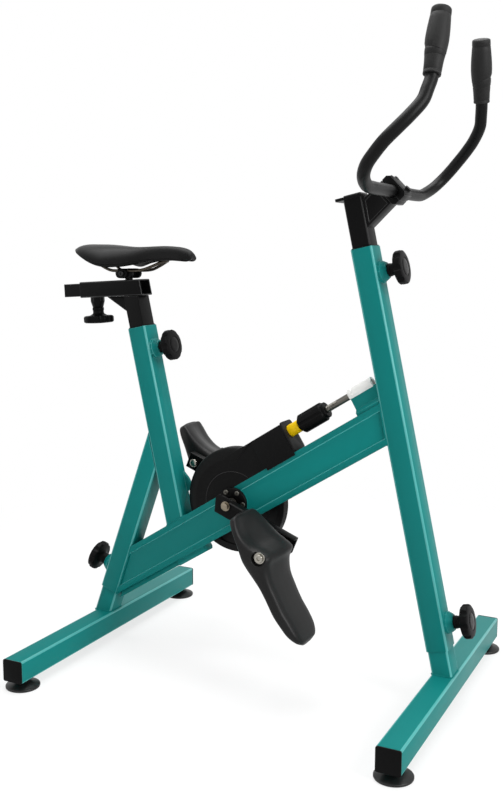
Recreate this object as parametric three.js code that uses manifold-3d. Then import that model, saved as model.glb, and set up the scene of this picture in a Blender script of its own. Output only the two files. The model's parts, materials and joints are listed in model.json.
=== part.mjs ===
// Pool exercise bike: a steel frame on two foot bars, a crank with a braked wheel running between
// the rail's side walls, hanging foot-shaped pedals, a sliding saddle and a bullhorn handlebar.
// Millimetres, +X forwards (the way the rider faces), +Y to the rider's left, +Z up.
import * as THREE from 'three';
import { mergeVertices } from 'three/addons/utils/BufferGeometryUtils.js';
import Module from 'manifold-3d';

const wasm = await Module();
wasm.setup();

// Clearances and overruns
const weldGap = 0.3;
const slideGap = 0.4;
const runGap = 0.35;
const overrun = 20;

// Foot bars, their caps and levelling feet
const barSize = 50;
const barWall = 3;
const barCorner = 4;
const baseWidth = 749;
const capThickness = 4;
const capPlugDepth = 14;
const footHeight = 22;
const footInset = 35;
const footRadius = 38;
const footRim = 5;
const footNeckRadius = 13;
const footStudRadius = 6;
const footStudReach = 22;

// Upright tubes that slide over the stubs of the foot bars
const tubeDepth = 48;
const tubeWidth = 55;
const tubeWall = 2;
const tubeCorner = 4;
const stubWall = 3;
const stubReach = 240;

// Front mast
const mastLeanDeg = 12.5;
const mastFootBack = 1.5;
const mastStart = 54;
const mastLength = 863;
const mastKnobDrop = 56;
const mastLowKnobRise = 54;

// Rear leg
const legLeanDeg = 19.7;
const legFootBack = 5;
const legStart = 63;
const legKnobRise = 54;

// Rail and the crank axle it carries
const axleHeight = 392;
const axleForward = 365;
const axleToFrontBar = 497;
const railRiseDeg = 32.2;
const railDrop = 12;
const railHeight = 84;
const railBand = 15;
const railBandProud = 3;
const railBandSlope = 2;
const railWall = 4.5;
const wheelSlotWidth = 32;
const wheelSlotSpare = 7;
const railTabLength = 88;
const railTabBack = 222;
const railTabDepth = 14;
const railTabWidth = 36;

// Seat tube and its post
const seatLeanDeg = 12.4;
const seatFootBack = 184;
const seatTubeLength = 511;
const seatKnobDrop = 56;
const postDepth = 41;
const postWidth = 48;
const postWall = 3;
const postCorner = 3;
const postShow = 75;
const postHidden = 230;
const bushLength = 60;
const bushLip = 2;
const bushLipProud = 1.5;
const lugRise = 106;
const lugHeight = 50;
const lugProud = 15;
const lugThickness = 7;

// Bosses and clamp knobs
const bossRadius = 24;
const bossTopRadius = 17;
const bossLength = 17;
const screwRadius = 5;
const knobRadius = 36;
const knobLobeDepth = 3.2;
const knobThickness = 19;
const knobRound = 2.5;
const knobHubRadius = 14;
const knobHubLength = 16;
const knobLobeCount = 8;

// Crank, wheel and bearings
const wheelRadius = 120;
const wheelWidth = 24;
const wheelWebWidth = 12;
const wheelRimDepth = 16;
const wheelGroove = 2;
const wheelHubRadius = 30;
const axleRadius = 12.5;
const axleLength = 122;
const housingRadius = 36;
const housingThickness = 8;
const housingPilotRadius = 19;
const housingEdge = 2;
const crankLength = 165;
const crankAngleDeg = 21.8;
const crankHeight = 38;
const crankPlate = 5;
const crankFlange = 14;
const crankFlangeWall = 3;
const crankEnd = 19;
const crankHeelLength = 30;
const crankHeelDrop = 25;
const crankBoltRadius = 11;
const crankBoltHead = 8;
const crankBoltReach = 22;

// Pedals
const pedalReach = 203;
const pedalWidth = 116;
const pedalGap = 17;
const pedalDish = 7;
const pedalHangDeg = 62.5;
const pedalPocketRadius = 16;
const pedalPocketDepth = 10;
const pedalPinRadius = 8;
const pedalThreadRadius = 6;
const pedalHeadRadius = 11;
const pedalHeadHeight = 7;
const pedalNutRadius = 9.5;
const pedalNutHeight = 7;

// Wheel cover and brake
const coverRadius = 125;
const coverCrease = 98;
const coverShoulder = 16;
const coverWall = 2.6;
const neckTop = 99;
const neckStep = 115;
const neckEnd = 197;
const neckHalfWidth = 31;
const neckLap = 6;
const neckLip = 4;
const endPlateThickness = 4;
const endPlateHalfWidth = 28;
const endPlateTop = 103;
const endPlateCorner = 8;
const screwLine = 77;
const brakeTravel = 4;
const brakeBlockWidth = 22;
const brakeBlockHeight = 22;
const brakeBlockEnd = 146;
const brakeStemRadius = 10;
const springRadius = 14;
const springStart = 176;
const springEnd = 229;
const adjusterRadius = 22;
const adjusterLength = 75;
const adjusterLobeDepth = 3;
const adjusterLobeCount = 6;
const adjusterShoulder = 3;
const rodRadius = 7.5;
const rodStart = 210;
const rodSleeveRadius = 12;
const rodSleeveBackShare = 0.553;
const rodSleeveFrontShare = 0.104;
const bracketBackShare = 0.538;
const bracketTopHalf = 11;
const bracketFootHalf = 25;
const bracketShelf = 6;

// Saddle slide
const slideRiseDeg = 3.3;
const slideHeight = 38;
const slideWidth = 46;
const slideWall = 3;
const slideCorner = 3;
const slideBack = 145;
const slideFront = 31;
const slideFrontRake = 9;
const slideBossBack = 111;
const slideBossLength = 27;
const slideTubeShow = 45;
const slideTubeWall = 2.5;
const slideTravelBack = 55;
const slideTravelFront = 20;
const slideGussetReach = 56;
const slideGussetDrop = 40;
const slideGussetThickness = 8;
const plugThickness = 3;
const plugDepth = 10;

// Saddle and its clamp
const saddleBack = 17;
const drumRadius = 11.5;
const drumLength = 46;
const drumWidth = 58;
const outerPlateLength = 27;
const drumRise = 15;
const barrelRadius = 11;
const barrelHalf = 14;
const cradleNeckRadius = 9;
const saddleLength = 307;
const saddleWidth = 168;
const saddleRise = 68;
const saddleNoseForward = 178;
const padThickness = 14;
const padSide = 7;
const shellThickness = 3;
const shellClearance = 1.6;
const shellGap = 0.8;
const railWireRadius = 3.5;
const railWireShare = 0.262;
const wireSteps = 38;
const wireSides = 6;
const clampBoltRadius = 3;
const clampBoltHeadRadius = 6.5;
const clampBoltHead = 5;

// Handlebar, its post and clamp
const barPostShow = 107;
const barPostHidden = 270;
const postPlate = 3;
const postPlateOverhang = 15;
const postPlateHalfWidth = 29;
const clampForward = 86;
const clampDrop = 9;
const clampWidth = 46;
const clampBack = 18;
const clampFront = 19;
const clampHigh = 31;
const clampLow = 26;
const clampChamfer = 6;
const clampSplit = 1;
const clampLugRadius = 7.5;
const clampLugLength = 7;
const stemArmDeg = 32;
const stemArmHigh = 33;
const stemArmLow = 9;
const bracketPlate = 4;
const bracketWidth = 42;
const handlebarRadius = 12.7;
const handlebarHalfWidth = 246;
const handlebarRise = 316;
const handlebarReach = 130;
const gripLength = 130;
const gripRadius = 22;
const gripEndRadius = 16.5;
const gripWall = 3;
const handlebarWall = 2;

// Counts of facets
const tubeCornerSteps = 2;
const roundSteps = 24;
const smallSteps = 12;
const footSteps = 16;
const gripSteps = 16;
const pushSteps = 24;
const wheelSteps = 36;
const handlebarSteps = 46;
const handlebarSides = 8;

const rad = THREE.MathUtils.degToRad;

// Paints
const teal = { color: 0x17766f, roughness: 0.4, metalness: 0.1 };
const blackSteel = { color: 0x17181a, roughness: 0.45, metalness: 0.2 };
const blackPlastic = { color: 0x1d1e20, roughness: 0.6, metalness: 0 };
const charcoal = { color: 0x2c2e30, roughness: 0.65, metalness: 0 };
const steel = { color: 0x9a9a98, roughness: 0.35, metalness: 1 };
const yellow = { color: 0xe0c010, roughness: 0.5, metalness: 0 };
const white = { color: 0xe9e9e6, roughness: 0.4, metalness: 0 };
const rubber = { color: 0x141414, roughness: 0.85, metalness: 0 };

// Turns a geometry into a closed solid with its faces outwards
function solid(geometry) {
  const bare = new THREE.BufferGeometry();
  bare.setAttribute('position', geometry.getAttribute('position').clone());
  if (geometry.index) bare.setIndex(geometry.index.clone());
  const merged = mergeVertices(bare, 1e-4);
  const vertProperties = new Float32Array(merged.getAttribute('position').array);
  const triVerts = new Uint32Array(merged.index.array);
  if (signedVolume(vertProperties, triVerts) < 0) triVerts.reverse();
  return new wasm.Manifold(new wasm.Mesh({ numProp: 3, vertProperties, triVerts }));
}

function signedVolume(points, triangles) {
  const corner = (i) => new THREE.Vector3().fromArray(points, 3 * triangles[i]);
  let sum = 0;
  for (let i = 0; i < triangles.length; i += 3) {
    sum += corner(i).dot(corner(i + 1).cross(corner(i + 2)));
  }
  return sum;
}

// Turns a solid back into a geometry
function surface(manifold) {
  const mesh = manifold.getMesh();
  const geometry = new THREE.BufferGeometry();
  const points = new Float32Array(mesh.numVert * 3);
  for (let i = 0; i < mesh.numVert; i += 1) {
    for (let k = 0; k < 3; k += 1) points[3 * i + k] = mesh.vertProperties[mesh.numProp * i + k];
  }
  geometry.setAttribute('position', new THREE.BufferAttribute(points, 3));
  geometry.setIndex(new THREE.BufferAttribute(new Uint32Array(mesh.triVerts), 1));
  const shown = geometry.toNonIndexed();
  shown.computeVertexNormals();
  return shown;
}

// Adds a solid to a group as a named mesh
function place(group, name, manifold, paint) {
  const mesh = new THREE.Mesh(surface(manifold), new THREE.MeshStandardMaterial(paint));
  mesh.name = name;
  group.add(mesh);
  return mesh;
}

// A group standing at a point of its parent, turned about the parent's Y axis
function frameAt(parent, x, z, turn) {
  const group = new THREE.Group();
  group.position.set(x, 0, z);
  group.rotation.y = turn;
  parent.add(group);
  group.updateWorldMatrix(true, false);
  return group;
}

// Carries a solid from one group's frame into another's
function carried(manifold, from, to) {
  const matrix = to.matrixWorld.clone().invert().multiply(from.matrixWorld);
  return manifold.transform(Array.from(matrix.elements));
}

// The largest body of a cut solid, without slivers that a cut leaves
function mainBody(manifold) {
  return manifold.decompose().reduce((a, b) => (b.volume() > a.volume() ? b : a));
}

function shift(manifold, x, y, z) {
  return manifold.translate([x, y, z]);
}

function block(x0, x1, y0, y1, z0, z1) {
  const geometry = new THREE.BoxGeometry(x1 - x0, y1 - y0, z1 - z0);
  geometry.translate((x0 + x1) / 2, (y0 + y1) / 2, (z0 + z1) / 2);
  return solid(geometry);
}

function roundedOutline(width, height, corner) {
  const [w, h] = [width / 2, height / 2];
  const shape = new THREE.Shape();
  shape.moveTo(-w + corner, -h);
  shape.lineTo(w - corner, -h);
  shape.absarc(w - corner, -h + corner, corner, -Math.PI / 2, 0);
  shape.lineTo(w, h - corner);
  shape.absarc(w - corner, h - corner, corner, 0, Math.PI / 2);
  shape.lineTo(-w + corner, h);
  shape.absarc(-w + corner, h - corner, corner, Math.PI / 2, Math.PI);
  shape.lineTo(-w, -h + corner);
  shape.absarc(-w + corner, -h + corner, corner, Math.PI, 1.5 * Math.PI);
  return shape;
}

// A rounded bar standing on z = 0, x by y
function bar(width, depth, corner, length) {
  const shape = roundedOutline(width, depth, corner);
  return solid(new THREE.ExtrudeGeometry(shape, {
    depth: length, bevelEnabled: false, curveSegments: tubeCornerSteps,
  }));
}

// A rounded tube standing on z = 0
function tube(width, depth, corner, wall, length) {
  const bore = bar(width - 2 * wall, depth - 2 * wall, Math.max(corner - wall, wall / 2),
      length + 2 * overrun);
  return bar(width, depth, corner, length).subtract(shift(bore, 0, 0, -overrun));
}

// An outline in the XZ plane given a thickness along Y, centred on y
function slab(points, thickness, y = 0) {
  const shape = new THREE.Shape(points.map(([x, z]) => new THREE.Vector2(x, z)));
  const geometry = new THREE.ExtrudeGeometry(shape, { depth: thickness, bevelEnabled: false });
  geometry.rotateX(Math.PI / 2);
  geometry.translate(0, y + thickness / 2, 0);
  return solid(geometry);
}

// A turned body standing on the Z axis; the profile's points are radius and height
function turned(profile, steps = roundSteps) {
  const points = profile.map(([r, z]) => new THREE.Vector2(r, z));
  const geometry = new THREE.LatheGeometry(points, steps);
  geometry.rotateX(Math.PI / 2);
  return solid(geometry);
}

function rod(radius, z0, z1, steps = smallSteps) {
  return turned([[0, z0], [radius, z0], [radius, z1], [0, z1]], steps);
}

function alongX(manifold) {
  return manifold.rotate([0, 90, 0]);
}

// Lays a body from the Z axis along Y; side is 1 for the left of the bike and -1 for the right
function alongY(manifold, side = 1) {
  return manifold.rotate([-90 * side, 0, 0]);
}

// A solid through a list of rings of equal count, closed by a fan at each end
function loft(rings) {
  const count = rings[0].length;
  const points = [];
  const triangles = [];
  for (const ring of rings) for (const p of ring) points.push(...p);
  for (let i = 0; i + 1 < rings.length; i += 1) {
    for (let k = 0; k < count; k += 1) {
      const [a, b] = [i * count + k, i * count + (k + 1) % count];
      triangles.push(a, b, b + count, a, b + count, a + count);
    }
  }
  const ends = [[0, false], [rings.length - 1, true]];
  for (const [i, last] of ends) {
    const middle = points.length / 3;
    for (let axis = 0; axis < 3; axis += 1) {
      points.push(rings[i].reduce((sum, p) => sum + p[axis], 0) / count);
    }
    for (let k = 0; k < count; k += 1) {
      const [a, b] = [i * count + k, i * count + (k + 1) % count];
      triangles.push(...(last ? [middle, a, b] : [middle, b, a]));
    }
  }
  const geometry = new THREE.BufferGeometry();
  geometry.setAttribute('position', new THREE.Float32BufferAttribute(points, 3));
  geometry.setIndex(triangles);
  return solid(geometry);
}

// A smooth number between the values of a table of shares
function eased(table, t) {
  const at = t * (table.length - 1);
  const i = Math.min(Math.floor(at), table.length - 2);
  const f = at - i;
  const [a, b] = [table[i], table[i + 1]];
  const before = table[Math.max(i - 1, 0)];
  const after = table[Math.min(i + 2, table.length - 1)];
  const [m, n] = [(b - before) / 2, (after - a) / 2];
  return a + f * (m + f * (3 * (b - a) - 2 * m - n + f * (m + n - 2 * (b - a))));
}

const model = new THREE.Group();
model.updateWorldMatrix(true, false);

// Frames of reference
const barTop = footHeight + barSize;
const wheelbase = axleForward + axleToFrontBar;
const rearBarX = 0;
const frontBarX = wheelbase;
const axleX = axleForward;
const ground = frameAt(model, 0, 0, 0);
const mast = frameAt(model, frontBarX - mastFootBack, barTop, -rad(mastLeanDeg));
const leg = frameAt(model, rearBarX - legFootBack, barTop, rad(legLeanDeg));
const rail = frameAt(model, axleX, axleHeight, -rad(railRiseDeg));
const seat = frameAt(rail, -seatFootBack, -railDrop, rad(railRiseDeg - seatLeanDeg));
const slide = frameAt(seat, 0, seatTubeLength + postShow, rad(seatLeanDeg - slideRiseDeg));
const crank = frameAt(model, axleX, axleHeight, rad(crankAngleDeg));

const railTop = railHeight / 2 - railDrop;
const railFoot = -railHeight / 2 - railDrop;
const halfTube = tubeDepth / 2;
const halfWidth = tubeWidth / 2;

const tubeBlank = (grow, start, end) => shift(
  bar(tubeDepth + 2 * grow, tubeWidth + 2 * grow, tubeCorner + grow, end - start), 0, 0, start);
const mastSpace = tubeBlank(weldGap, 0, mastStart + mastLength);
const legSpace = tubeBlank(weldGap, 0, mastLength);
const seatSpace = tubeBlank(weldGap, 0, seatTubeLength);

// A welded boss on a tube's face, standing along +X from the face
function boss(face, height, length = bossLength) {
  const profile = [
    [0, face - tubeWall / 2], [bossRadius, face - tubeWall / 2], [bossRadius, face + length / 3],
    [bossTopRadius, face + length], [0, face + length],
  ];
  return shift(alongX(turned(profile, smallSteps)), 0, 0, height);
}

function screwHole(height, side) {
  const reach = halfTube + bossLength + overrun;
  return shift(alongX(rod(screwRadius + slideGap, 0, reach)).scale([side, 1, 1]), 0, 0, height);
}

// A clamp knob with its moulded-in screw; it stands along +Z with the screw's tip at z = 0
function clampKnob(screwLength) {
  const outline = new THREE.Shape();
  const steps = knobLobeCount * 4;
  for (let i = 0; i < steps; i += 1) {
    const angle = (2 * Math.PI * i) / steps;
    const r = knobRadius - knobRound - knobLobeDepth * (0.5 - 0.5 * Math.cos(knobLobeCount * angle));
    outline[i ? 'lineTo' : 'moveTo'](r * Math.cos(angle), r * Math.sin(angle));
  }
  const head = new THREE.ExtrudeGeometry(outline, {
    depth: knobThickness - 2 * knobRound, bevelEnabled: true, bevelThickness: knobRound,
    bevelSize: knobRound, bevelSegments: 1,
  });
  head.translate(0, 0, screwLength + knobHubLength + knobRound);
  const shaft = turned([
    [0, 0], [screwRadius, 0], [screwRadius, screwLength], [knobHubRadius, screwLength],
    [knobHubRadius, screwLength + knobHubLength / 2],
    [knobHubRadius * 1.4, screwLength + knobHubLength + knobRound],
    [0, screwLength + knobHubLength + knobRound],
  ], smallSteps);
  return solid(head).add(shaft);
}

// The clamp knob on a boss of a tube; its screw's tip stops just short of the post inside
function tubeKnob(group, name, height, side, innerDepth) {
  const tip = innerDepth / 2 + runGap;
  const screwLength = halfTube + bossLength + runGap - tip;
  const knob = shift(alongX(clampKnob(screwLength)), tip, 0, height).scale([side, 1, 1]);
  place(group, name, knob, blackPlastic);
}

// Foot bars with the stub that a leg or the mast slides over
function buildBase(prefix, x, upright, stubStart) {
  const length = baseWidth - 2 * capThickness;
  const beam = shift(alongY(tube(barSize, barSize, barCorner, barWall, length)), x, -length / 2,
      footHeight + barSize / 2);
  const stubDepth = tubeDepth - 2 * tubeWall - 2 * slideGap;
  const stubWidth = tubeWidth - 2 * tubeWall - 2 * slideGap;
  const stub = shift(tube(stubDepth, stubWidth, tubeCorner - slideGap, stubWall, stubReach + overrun), 0,
      0, -overrun);
  const aboveBeam = block(-wheelbase, 2 * wheelbase, -baseWidth, baseWidth, barTop - barWall / 2,
      2 * baseWidth);
  let body = beam.add(carried(stub, upright, ground).intersect(aboveBeam));
  for (const side of [-1, 1]) {
    const hole = rod(footStudRadius + runGap, 0, footHeight + barSize / 2);
    body = body.subtract(shift(hole, x, side * (baseWidth / 2 - footInset), 0));
  }
  place(ground, `${prefix}_foot_bar`, body, teal);
  for (const [side, word] of [[-1, 'right'], [1, 'left']]) {
    place(ground, `${prefix}_cap_${word}`, shift(endCap(side), x, side * length / 2,
        footHeight + barSize / 2), blackPlastic);
    place(ground, `${prefix}_foot_${word}`, shift(levellingFoot(), x, side * (baseWidth / 2 - footInset),
        0), rubber);
  }
}

// A square cap whose plug enters the foot bar; it stands outwards along side * Y
function endCap(side) {
  const plugSize = barSize - 2 * barWall - 2 * runGap;
  const plate = shift(bar(barSize, barSize, barCorner, capThickness - runGap), 0, 0, runGap);
  const plug = shift(bar(plugSize, plugSize, barCorner / 2, capPlugDepth + capThickness / 2), 0, 0,
      -capPlugDepth);
  return alongY(plate.add(plug), side);
}

// A round pad with a neck and a stud that enters the bar
function levellingFoot() {
  const neckHeight = footHeight - runGap;
  return turned([
    [0, 0], [footRadius - footRim / 3, 0], [footRadius, footRim / 3], [footRadius, footRim],
    [footRadius * 0.86, footRim * 1.8], [footNeckRadius * 1.5, footHeight * 0.55],
    [footNeckRadius, footHeight * 0.72], [footNeckRadius, neckHeight], [footStudRadius, neckHeight],
    [footStudRadius, footHeight + footStudReach], [0, footHeight + footStudReach],
  ], footSteps);
}

// Front mast: a sleeve from above the foot bar up to the handlebar post
function buildMast() {
  const top = mastStart + mastLength;
  let body = shift(tube(tubeDepth, tubeWidth, tubeCorner, tubeWall, mastLength), 0, 0, mastStart);
  for (const height of [top - mastKnobDrop, mastStart + mastLowKnobRise]) {
    body = body.add(boss(halfTube, height)).subtract(screwHole(height, 1));
  }
  place(mast, 'front_mast', body, teal);
  place(mast, 'mast_bush', bush(top), blackPlastic);
  const stubDepth = tubeDepth - 2 * tubeWall - 2 * slideGap;
  tubeKnob(mast, 'mast_knob', top - mastKnobDrop, 1, postDepth);
  tubeKnob(mast, 'front_base_knob', mastStart + mastLowKnobRise, 1, stubDepth);
}

// A plastic liner at the top of a tube, with a thin lip on the tube's edge
function bush(top) {
  const [outX, outY] = [tubeDepth - 2 * tubeWall - 2 * runGap, tubeWidth - 2 * tubeWall - 2 * runGap];
  const liner = shift(bar(outX, outY, tubeCorner - runGap, bushLength), 0, 0, top - bushLength);
  const lipX = tubeDepth - 2 * bushLipProud;
  const lipY = tubeWidth - 2 * bushLipProud;
  const lip = shift(bar(lipX, lipY, tubeCorner, bushLip), 0, 0, top + runGap);
  const join = shift(bar(outX, outY, tubeCorner - runGap, bushLip), 0, 0, top - bushLip / 2);
  const bore = shift(bar(postDepth + 2 * slideGap, postWidth + 2 * slideGap, postCorner + slideGap,
    bushLength + 2 * overrun), 0, 0, top - bushLength - overrun);
  const hole = screwHole(top - mastKnobDrop, 1);
  return liner.add(join).add(lip).subtract(bore).subtract(hole);
}

// Rear leg: leans forwards from the rear foot bar to the seat tube's rear face
function buildLeg() {
  const length = mastLength * 0.6;
  const behindSeat = carried(seatSpace.add(block(-halfTube - weldGap, wheelbase, -baseWidth, baseWidth,
    -seatTubeLength, seatTubeLength * 1.2)), seat, leg);
  let body = shift(tube(tubeDepth, tubeWidth, tubeCorner, tubeWall, length), 0, 0,
      legStart).subtract(behindSeat);
  const height = legStart + legKnobRise;
  body = body.add(boss(halfTube, height).scale([-1, 1, 1])).subtract(screwHole(height, -1));
  place(leg, 'rear_leg', body, teal);
  const stubDepth = tubeDepth - 2 * tubeWall - 2 * slideGap;
  tubeKnob(leg, 'rear_base_knob', height, -1, stubDepth);
}

// Seat tube: stands on the rail, with a boss and a small lug on its front face
function buildSeatTube() {
  const underRail = carried(block(-wheelbase, wheelbase, -baseWidth, baseWidth, -baseWidth,
    railTop + weldGap), rail, seat);
  let body = tube(tubeDepth, tubeWidth, tubeCorner, tubeWall, seatTubeLength).subtract(underRail);
  const height = seatTubeLength - seatKnobDrop;
  const inside = halfTube - tubeWall / 2;
  const lug = slab([
    [inside, lugRise], [halfTube + lugProud * 0.25, lugRise],
    [halfTube + lugProud * 0.7, lugRise + lugHeight * 0.12],
    [halfTube + lugProud, lugRise + lugHeight * 0.32], [halfTube + lugProud * 0.7,
        lugRise + lugHeight * 0.62],
    [inside, lugRise + lugHeight],
  ], lugThickness, halfWidth - lugThickness / 2 - tubeCorner);
  body = body.add(boss(halfTube, height)).add(lug).subtract(screwHole(height, 1));
  place(seat, 'seat_tube', body, teal);
  place(seat, 'seat_bush', bush(seatTubeLength), blackPlastic);
  tubeKnob(seat, 'seat_height_knob', height, 1, postDepth);
}

// Rail: a box with raised bands along its edges, slotted for the wheel and bored for the bearings
function buildRail() {
  const web = halfWidth - railBandProud;
  const [low, high] = [-railHeight / 2, railHeight / 2];
  const side = [
    [halfWidth, low], [halfWidth, low + railBand - railBandSlope], [web, low + railBand],
    [web, high - railBand], [halfWidth, high - railBand + railBandSlope], [halfWidth, high],
  ];
  const outline = [...side, ...side.map(([y, z]) => [-y, z]).reverse()];
  const half = wheelbase * 0.7;
  let body = prismX(outline, -half, half);
  const pad = alongY(rod(housingRadius, -halfWidth, halfWidth, roundSteps));
  const height = block(-wheelRadius, wheelRadius, -tubeWidth, tubeWidth, low, high);
  body = body.add(shift(pad, 0, 0, railDrop).intersect(height));
  const inner = web - railWall;
  body = body.subtract(block(-wheelbase, wheelbase, -inner, inner, low + railWall, high - railWall));
  body = shift(body, 0, 0, -railDrop);
  body = body.subtract(carried(mastSpace.add(block(0, wheelbase, -baseWidth, baseWidth, -wheelbase,
      wheelbase)), mast, rail));
  body = body.subtract(carried(legSpace.add(block(-wheelbase, 0, -baseWidth, baseWidth, -wheelbase,
      wheelbase)), leg, rail));
  const slotHalf = wheelRadius + wheelSlotSpare;
  body = body.subtract(block(-slotHalf, slotHalf, -wheelSlotWidth / 2, wheelSlotWidth / 2, -railHeight * 2,
      railHeight * 2));
  body = body.subtract(alongY(rod(housingPilotRadius + weldGap, -tubeWidth, tubeWidth, roundSteps)));
  const tab = prismX([
    [-railTabWidth / 2, railWall / 2], [-railTabWidth / 2, -railTabDepth * 0.6],
    [-railTabWidth * 0.35, -railTabDepth],
    [railTabWidth * 0.35, -railTabDepth], [railTabWidth / 2, -railTabDepth * 0.6],
    [railTabWidth / 2, railWall / 2],
  ], -railTabBack, railTabLength - railTabBack);
  place(rail, 'main_rail', body.add(shift(tab, 0, 0, railFoot)), teal);
}

// An outline in the YZ plane run along X
function prismX(points, x0, x1) {
  const shape = new THREE.Shape(points.map(([y, z]) => new THREE.Vector2(y, z)));
  const geometry = new THREE.ExtrudeGeometry(shape, { depth: x1 - x0, bevelEnabled: false });
  geometry.applyMatrix4(new THREE.Matrix4().set(0, 0, 1, x0, 1, 0, 0, 0, 0, 1, 0, 0, 0, 0, 0, 1));
  return solid(geometry);
}

// Bearing housings, seated on the rail's webs with a flange outside
function buildHousings() {
  const flangeStart = halfWidth + weldGap;
  const flangeEnd = flangeStart + housingThickness;
  const profile = [
    [axleRadius + runGap, wheelSlotWidth / 2], [housingPilotRadius, wheelSlotWidth / 2],
    [housingPilotRadius, flangeStart], [housingRadius, flangeStart],
    [housingRadius, flangeEnd - housingEdge], [housingRadius - housingEdge, flangeEnd],
    [axleRadius + runGap, flangeEnd], [axleRadius + runGap, wheelSlotWidth / 2],
  ];
  for (const [side, word] of [[-1, 'right'], [1, 'left']]) {
    place(rail, `bearing_housing_${word}`, alongY(turned(profile), side), blackSteel);
  }
}

// The braked wheel: a rim with grooves on a thinner web and a hub that grips the axle
function buildWheel() {
  const [rim, web, hub] = [wheelWidth / 2, wheelWebWidth / 2, wheelWidth / 2];
  const inner = wheelRadius - wheelRimDepth;
  const half = [
    [axleRadius + weldGap, hub], [wheelHubRadius, hub], [wheelHubRadius, web], [inner * 0.62, web],
    [inner * 0.64, web + wheelGroove], [inner * 0.78, web + wheelGroove], [inner * 0.8, web],
    [inner, web], [inner, rim], [wheelRadius, rim],
  ];
  const profile = [...half, ...half.map(([r, y]) => [r, -y]).reverse(), half[0]];
  place(crank, 'brake_wheel', alongY(turned(profile, wheelSteps)), blackSteel);
  const drill = rod(screwRadius + weldGap, axleLength / 2 - crankBoltReach, axleLength);
  let axle = rod(axleRadius, -axleLength / 2, axleLength / 2, roundSteps);
  axle = axle.subtract(drill).subtract(drill.rotate([180, 0, 0]));
  place(crank, 'crank_axle', alongY(axle), steel);
}

// One crank: a channel with a slanted heel, its bolt, the pedal's pin and the pedal
function buildCrankSide(side, word) {
  const inner = axleLength / 2 + weldGap;
  const outer = inner + crankPlate;
  const half = crankHeight / 2;
  const tip = crankLength + crankEnd;
  const webOutline = [
    [-crankHeelLength, half * 0.4], [-crankHeelLength * 0.7, -crankHeelDrop], [half, -crankHeelDrop],
    [half * 2, -half], [tip, -half], [tip, half], [-crankHeelLength * 0.8, half],
  ];
  const flangeStart = [half * 0.6, half * 2];
  let arm = slab(webOutline, crankPlate, inner + crankPlate / 2);
  for (const [k, z] of [[0, half - crankFlangeWall], [1, -half]]) {
    arm = arm.add(block(flangeStart[k], tip, inner + crankPlate / 2, outer + crankFlange, z,
        z + crankFlangeWall));
  }
  arm = arm.subtract(alongY(rod(screwRadius + weldGap, 0, outer + crankFlange)));
  arm = arm.subtract(shift(alongY(rod(pedalThreadRadius + weldGap, 0, outer + overrun)), crankLength, 0, 0));
  const bolt = turned([
    [0, axleLength / 2 - crankBoltReach + weldGap], [screwRadius, axleLength / 2 - crankBoltReach + weldGap],
    [screwRadius, outer + weldGap], [crankBoltRadius, outer + weldGap],
    [crankBoltRadius, outer + crankBoltHead * 0.6], [crankBoltRadius * 0.7, outer + crankBoltHead],
    [0, outer + crankBoltHead],
  ], smallSteps);
  const turnedBody = (body) => (side > 0 ? body.rotate([0, 180, 0]) : body.scale([1, -1, 1]));
  place(crank, `crank_${word}`, turnedBody(arm), blackSteel);
  place(crank, `crank_bolt_${word}`, turnedBody(alongY(bolt)), steel);
  const pedalStart = outer + crankFlange + pedalGap;
  const pedalEnd = pedalStart + pedalWidth;
  const headStart = pedalEnd - pedalPocketDepth + weldGap;
  const pin = turned([
    [0, inner - weldGap - pedalNutHeight], [pedalNutRadius, inner - weldGap - pedalNutHeight],
    [pedalNutRadius, inner - weldGap], [pedalThreadRadius, inner - weldGap],
    [pedalThreadRadius, outer + weldGap], [pedalPinRadius, outer + weldGap], [pedalPinRadius, headStart],
    [pedalHeadRadius, headStart], [pedalHeadRadius, headStart + pedalHeadHeight * 0.7],
    [pedalHeadRadius * 0.75, headStart + pedalHeadHeight], [0, headStart + pedalHeadHeight],
  ], smallSteps);
  place(crank, `pedal_pin_${word}`, turnedBody(shift(alongY(pin), crankLength, 0, 0)), steel);
  const hang = frameAt(crank, -side * crankLength, 0, -rad(crankAngleDeg));
  const middle = (pedalStart + pedalEnd) / 2;
  let body = shift(pedalBody().rotate([0, pedalHangDeg, 0]), 0, middle, 0);
  body = body.subtract(alongY(rod(pedalPinRadius + runGap, 0, pedalEnd + overrun)));
  body = body.subtract(alongY(rod(pedalPocketRadius, pedalEnd - pedalPocketDepth, pedalEnd + overrun,
      pushSteps)));
  place(hang, `pedal_${word}`, side > 0 ? body : body.scale([1, -1, 1]), charcoal);
}

// Outline of the pedal along its own length and depth, in shares of its reach: rear edge, front
// edge, then the width as a share of the pedal's
const pedalShares = [
  [-0.490, -0.125, -0.490, -0.105, 0.50], [-0.470, -0.165, -0.475, -0.085, 0.74],
  [-0.400, -0.175, -0.405, -0.090, 0.88], [-0.245, -0.180, -0.275, -0.090, 0.97],
  [-0.140, -0.195, -0.135, -0.040, 1.00], [-0.035, -0.210, -0.045, 0.040, 1.00],
  [0.070, -0.200, 0.045, 0.105, 0.99], [0.160, -0.180, 0.130, 0.035, 0.97],
  [0.290, -0.160, 0.270, -0.005, 0.95], [0.430, -0.155, 0.420, -0.015, 0.93],
  [0.590, -0.155, 0.600, -0.018, 0.92], [0.715, -0.135, 0.735, 0.000, 0.89],
  [0.850, -0.100, 0.880, 0.010, 0.80], [0.940, -0.055, 0.970, 0.000, 0.58],
  [0.980, -0.035, 1.000, -0.025, 0.30],
];

// Points round one cross-section of the pedal in shares: across its half width, from rear to front
const pedalRingShares = [
  [-1, 0.5], [-1, 0.84], [-0.84, 1], [-0.5, 1], [0, 1], [0.5, 1], [0.84, 1], [1, 0.84],
  [1, 0.5], [1, 0.16], [0.86, 0], [0.3, 0], [-0.3, 0], [-0.86, 0], [-1, 0.16],
];

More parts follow.
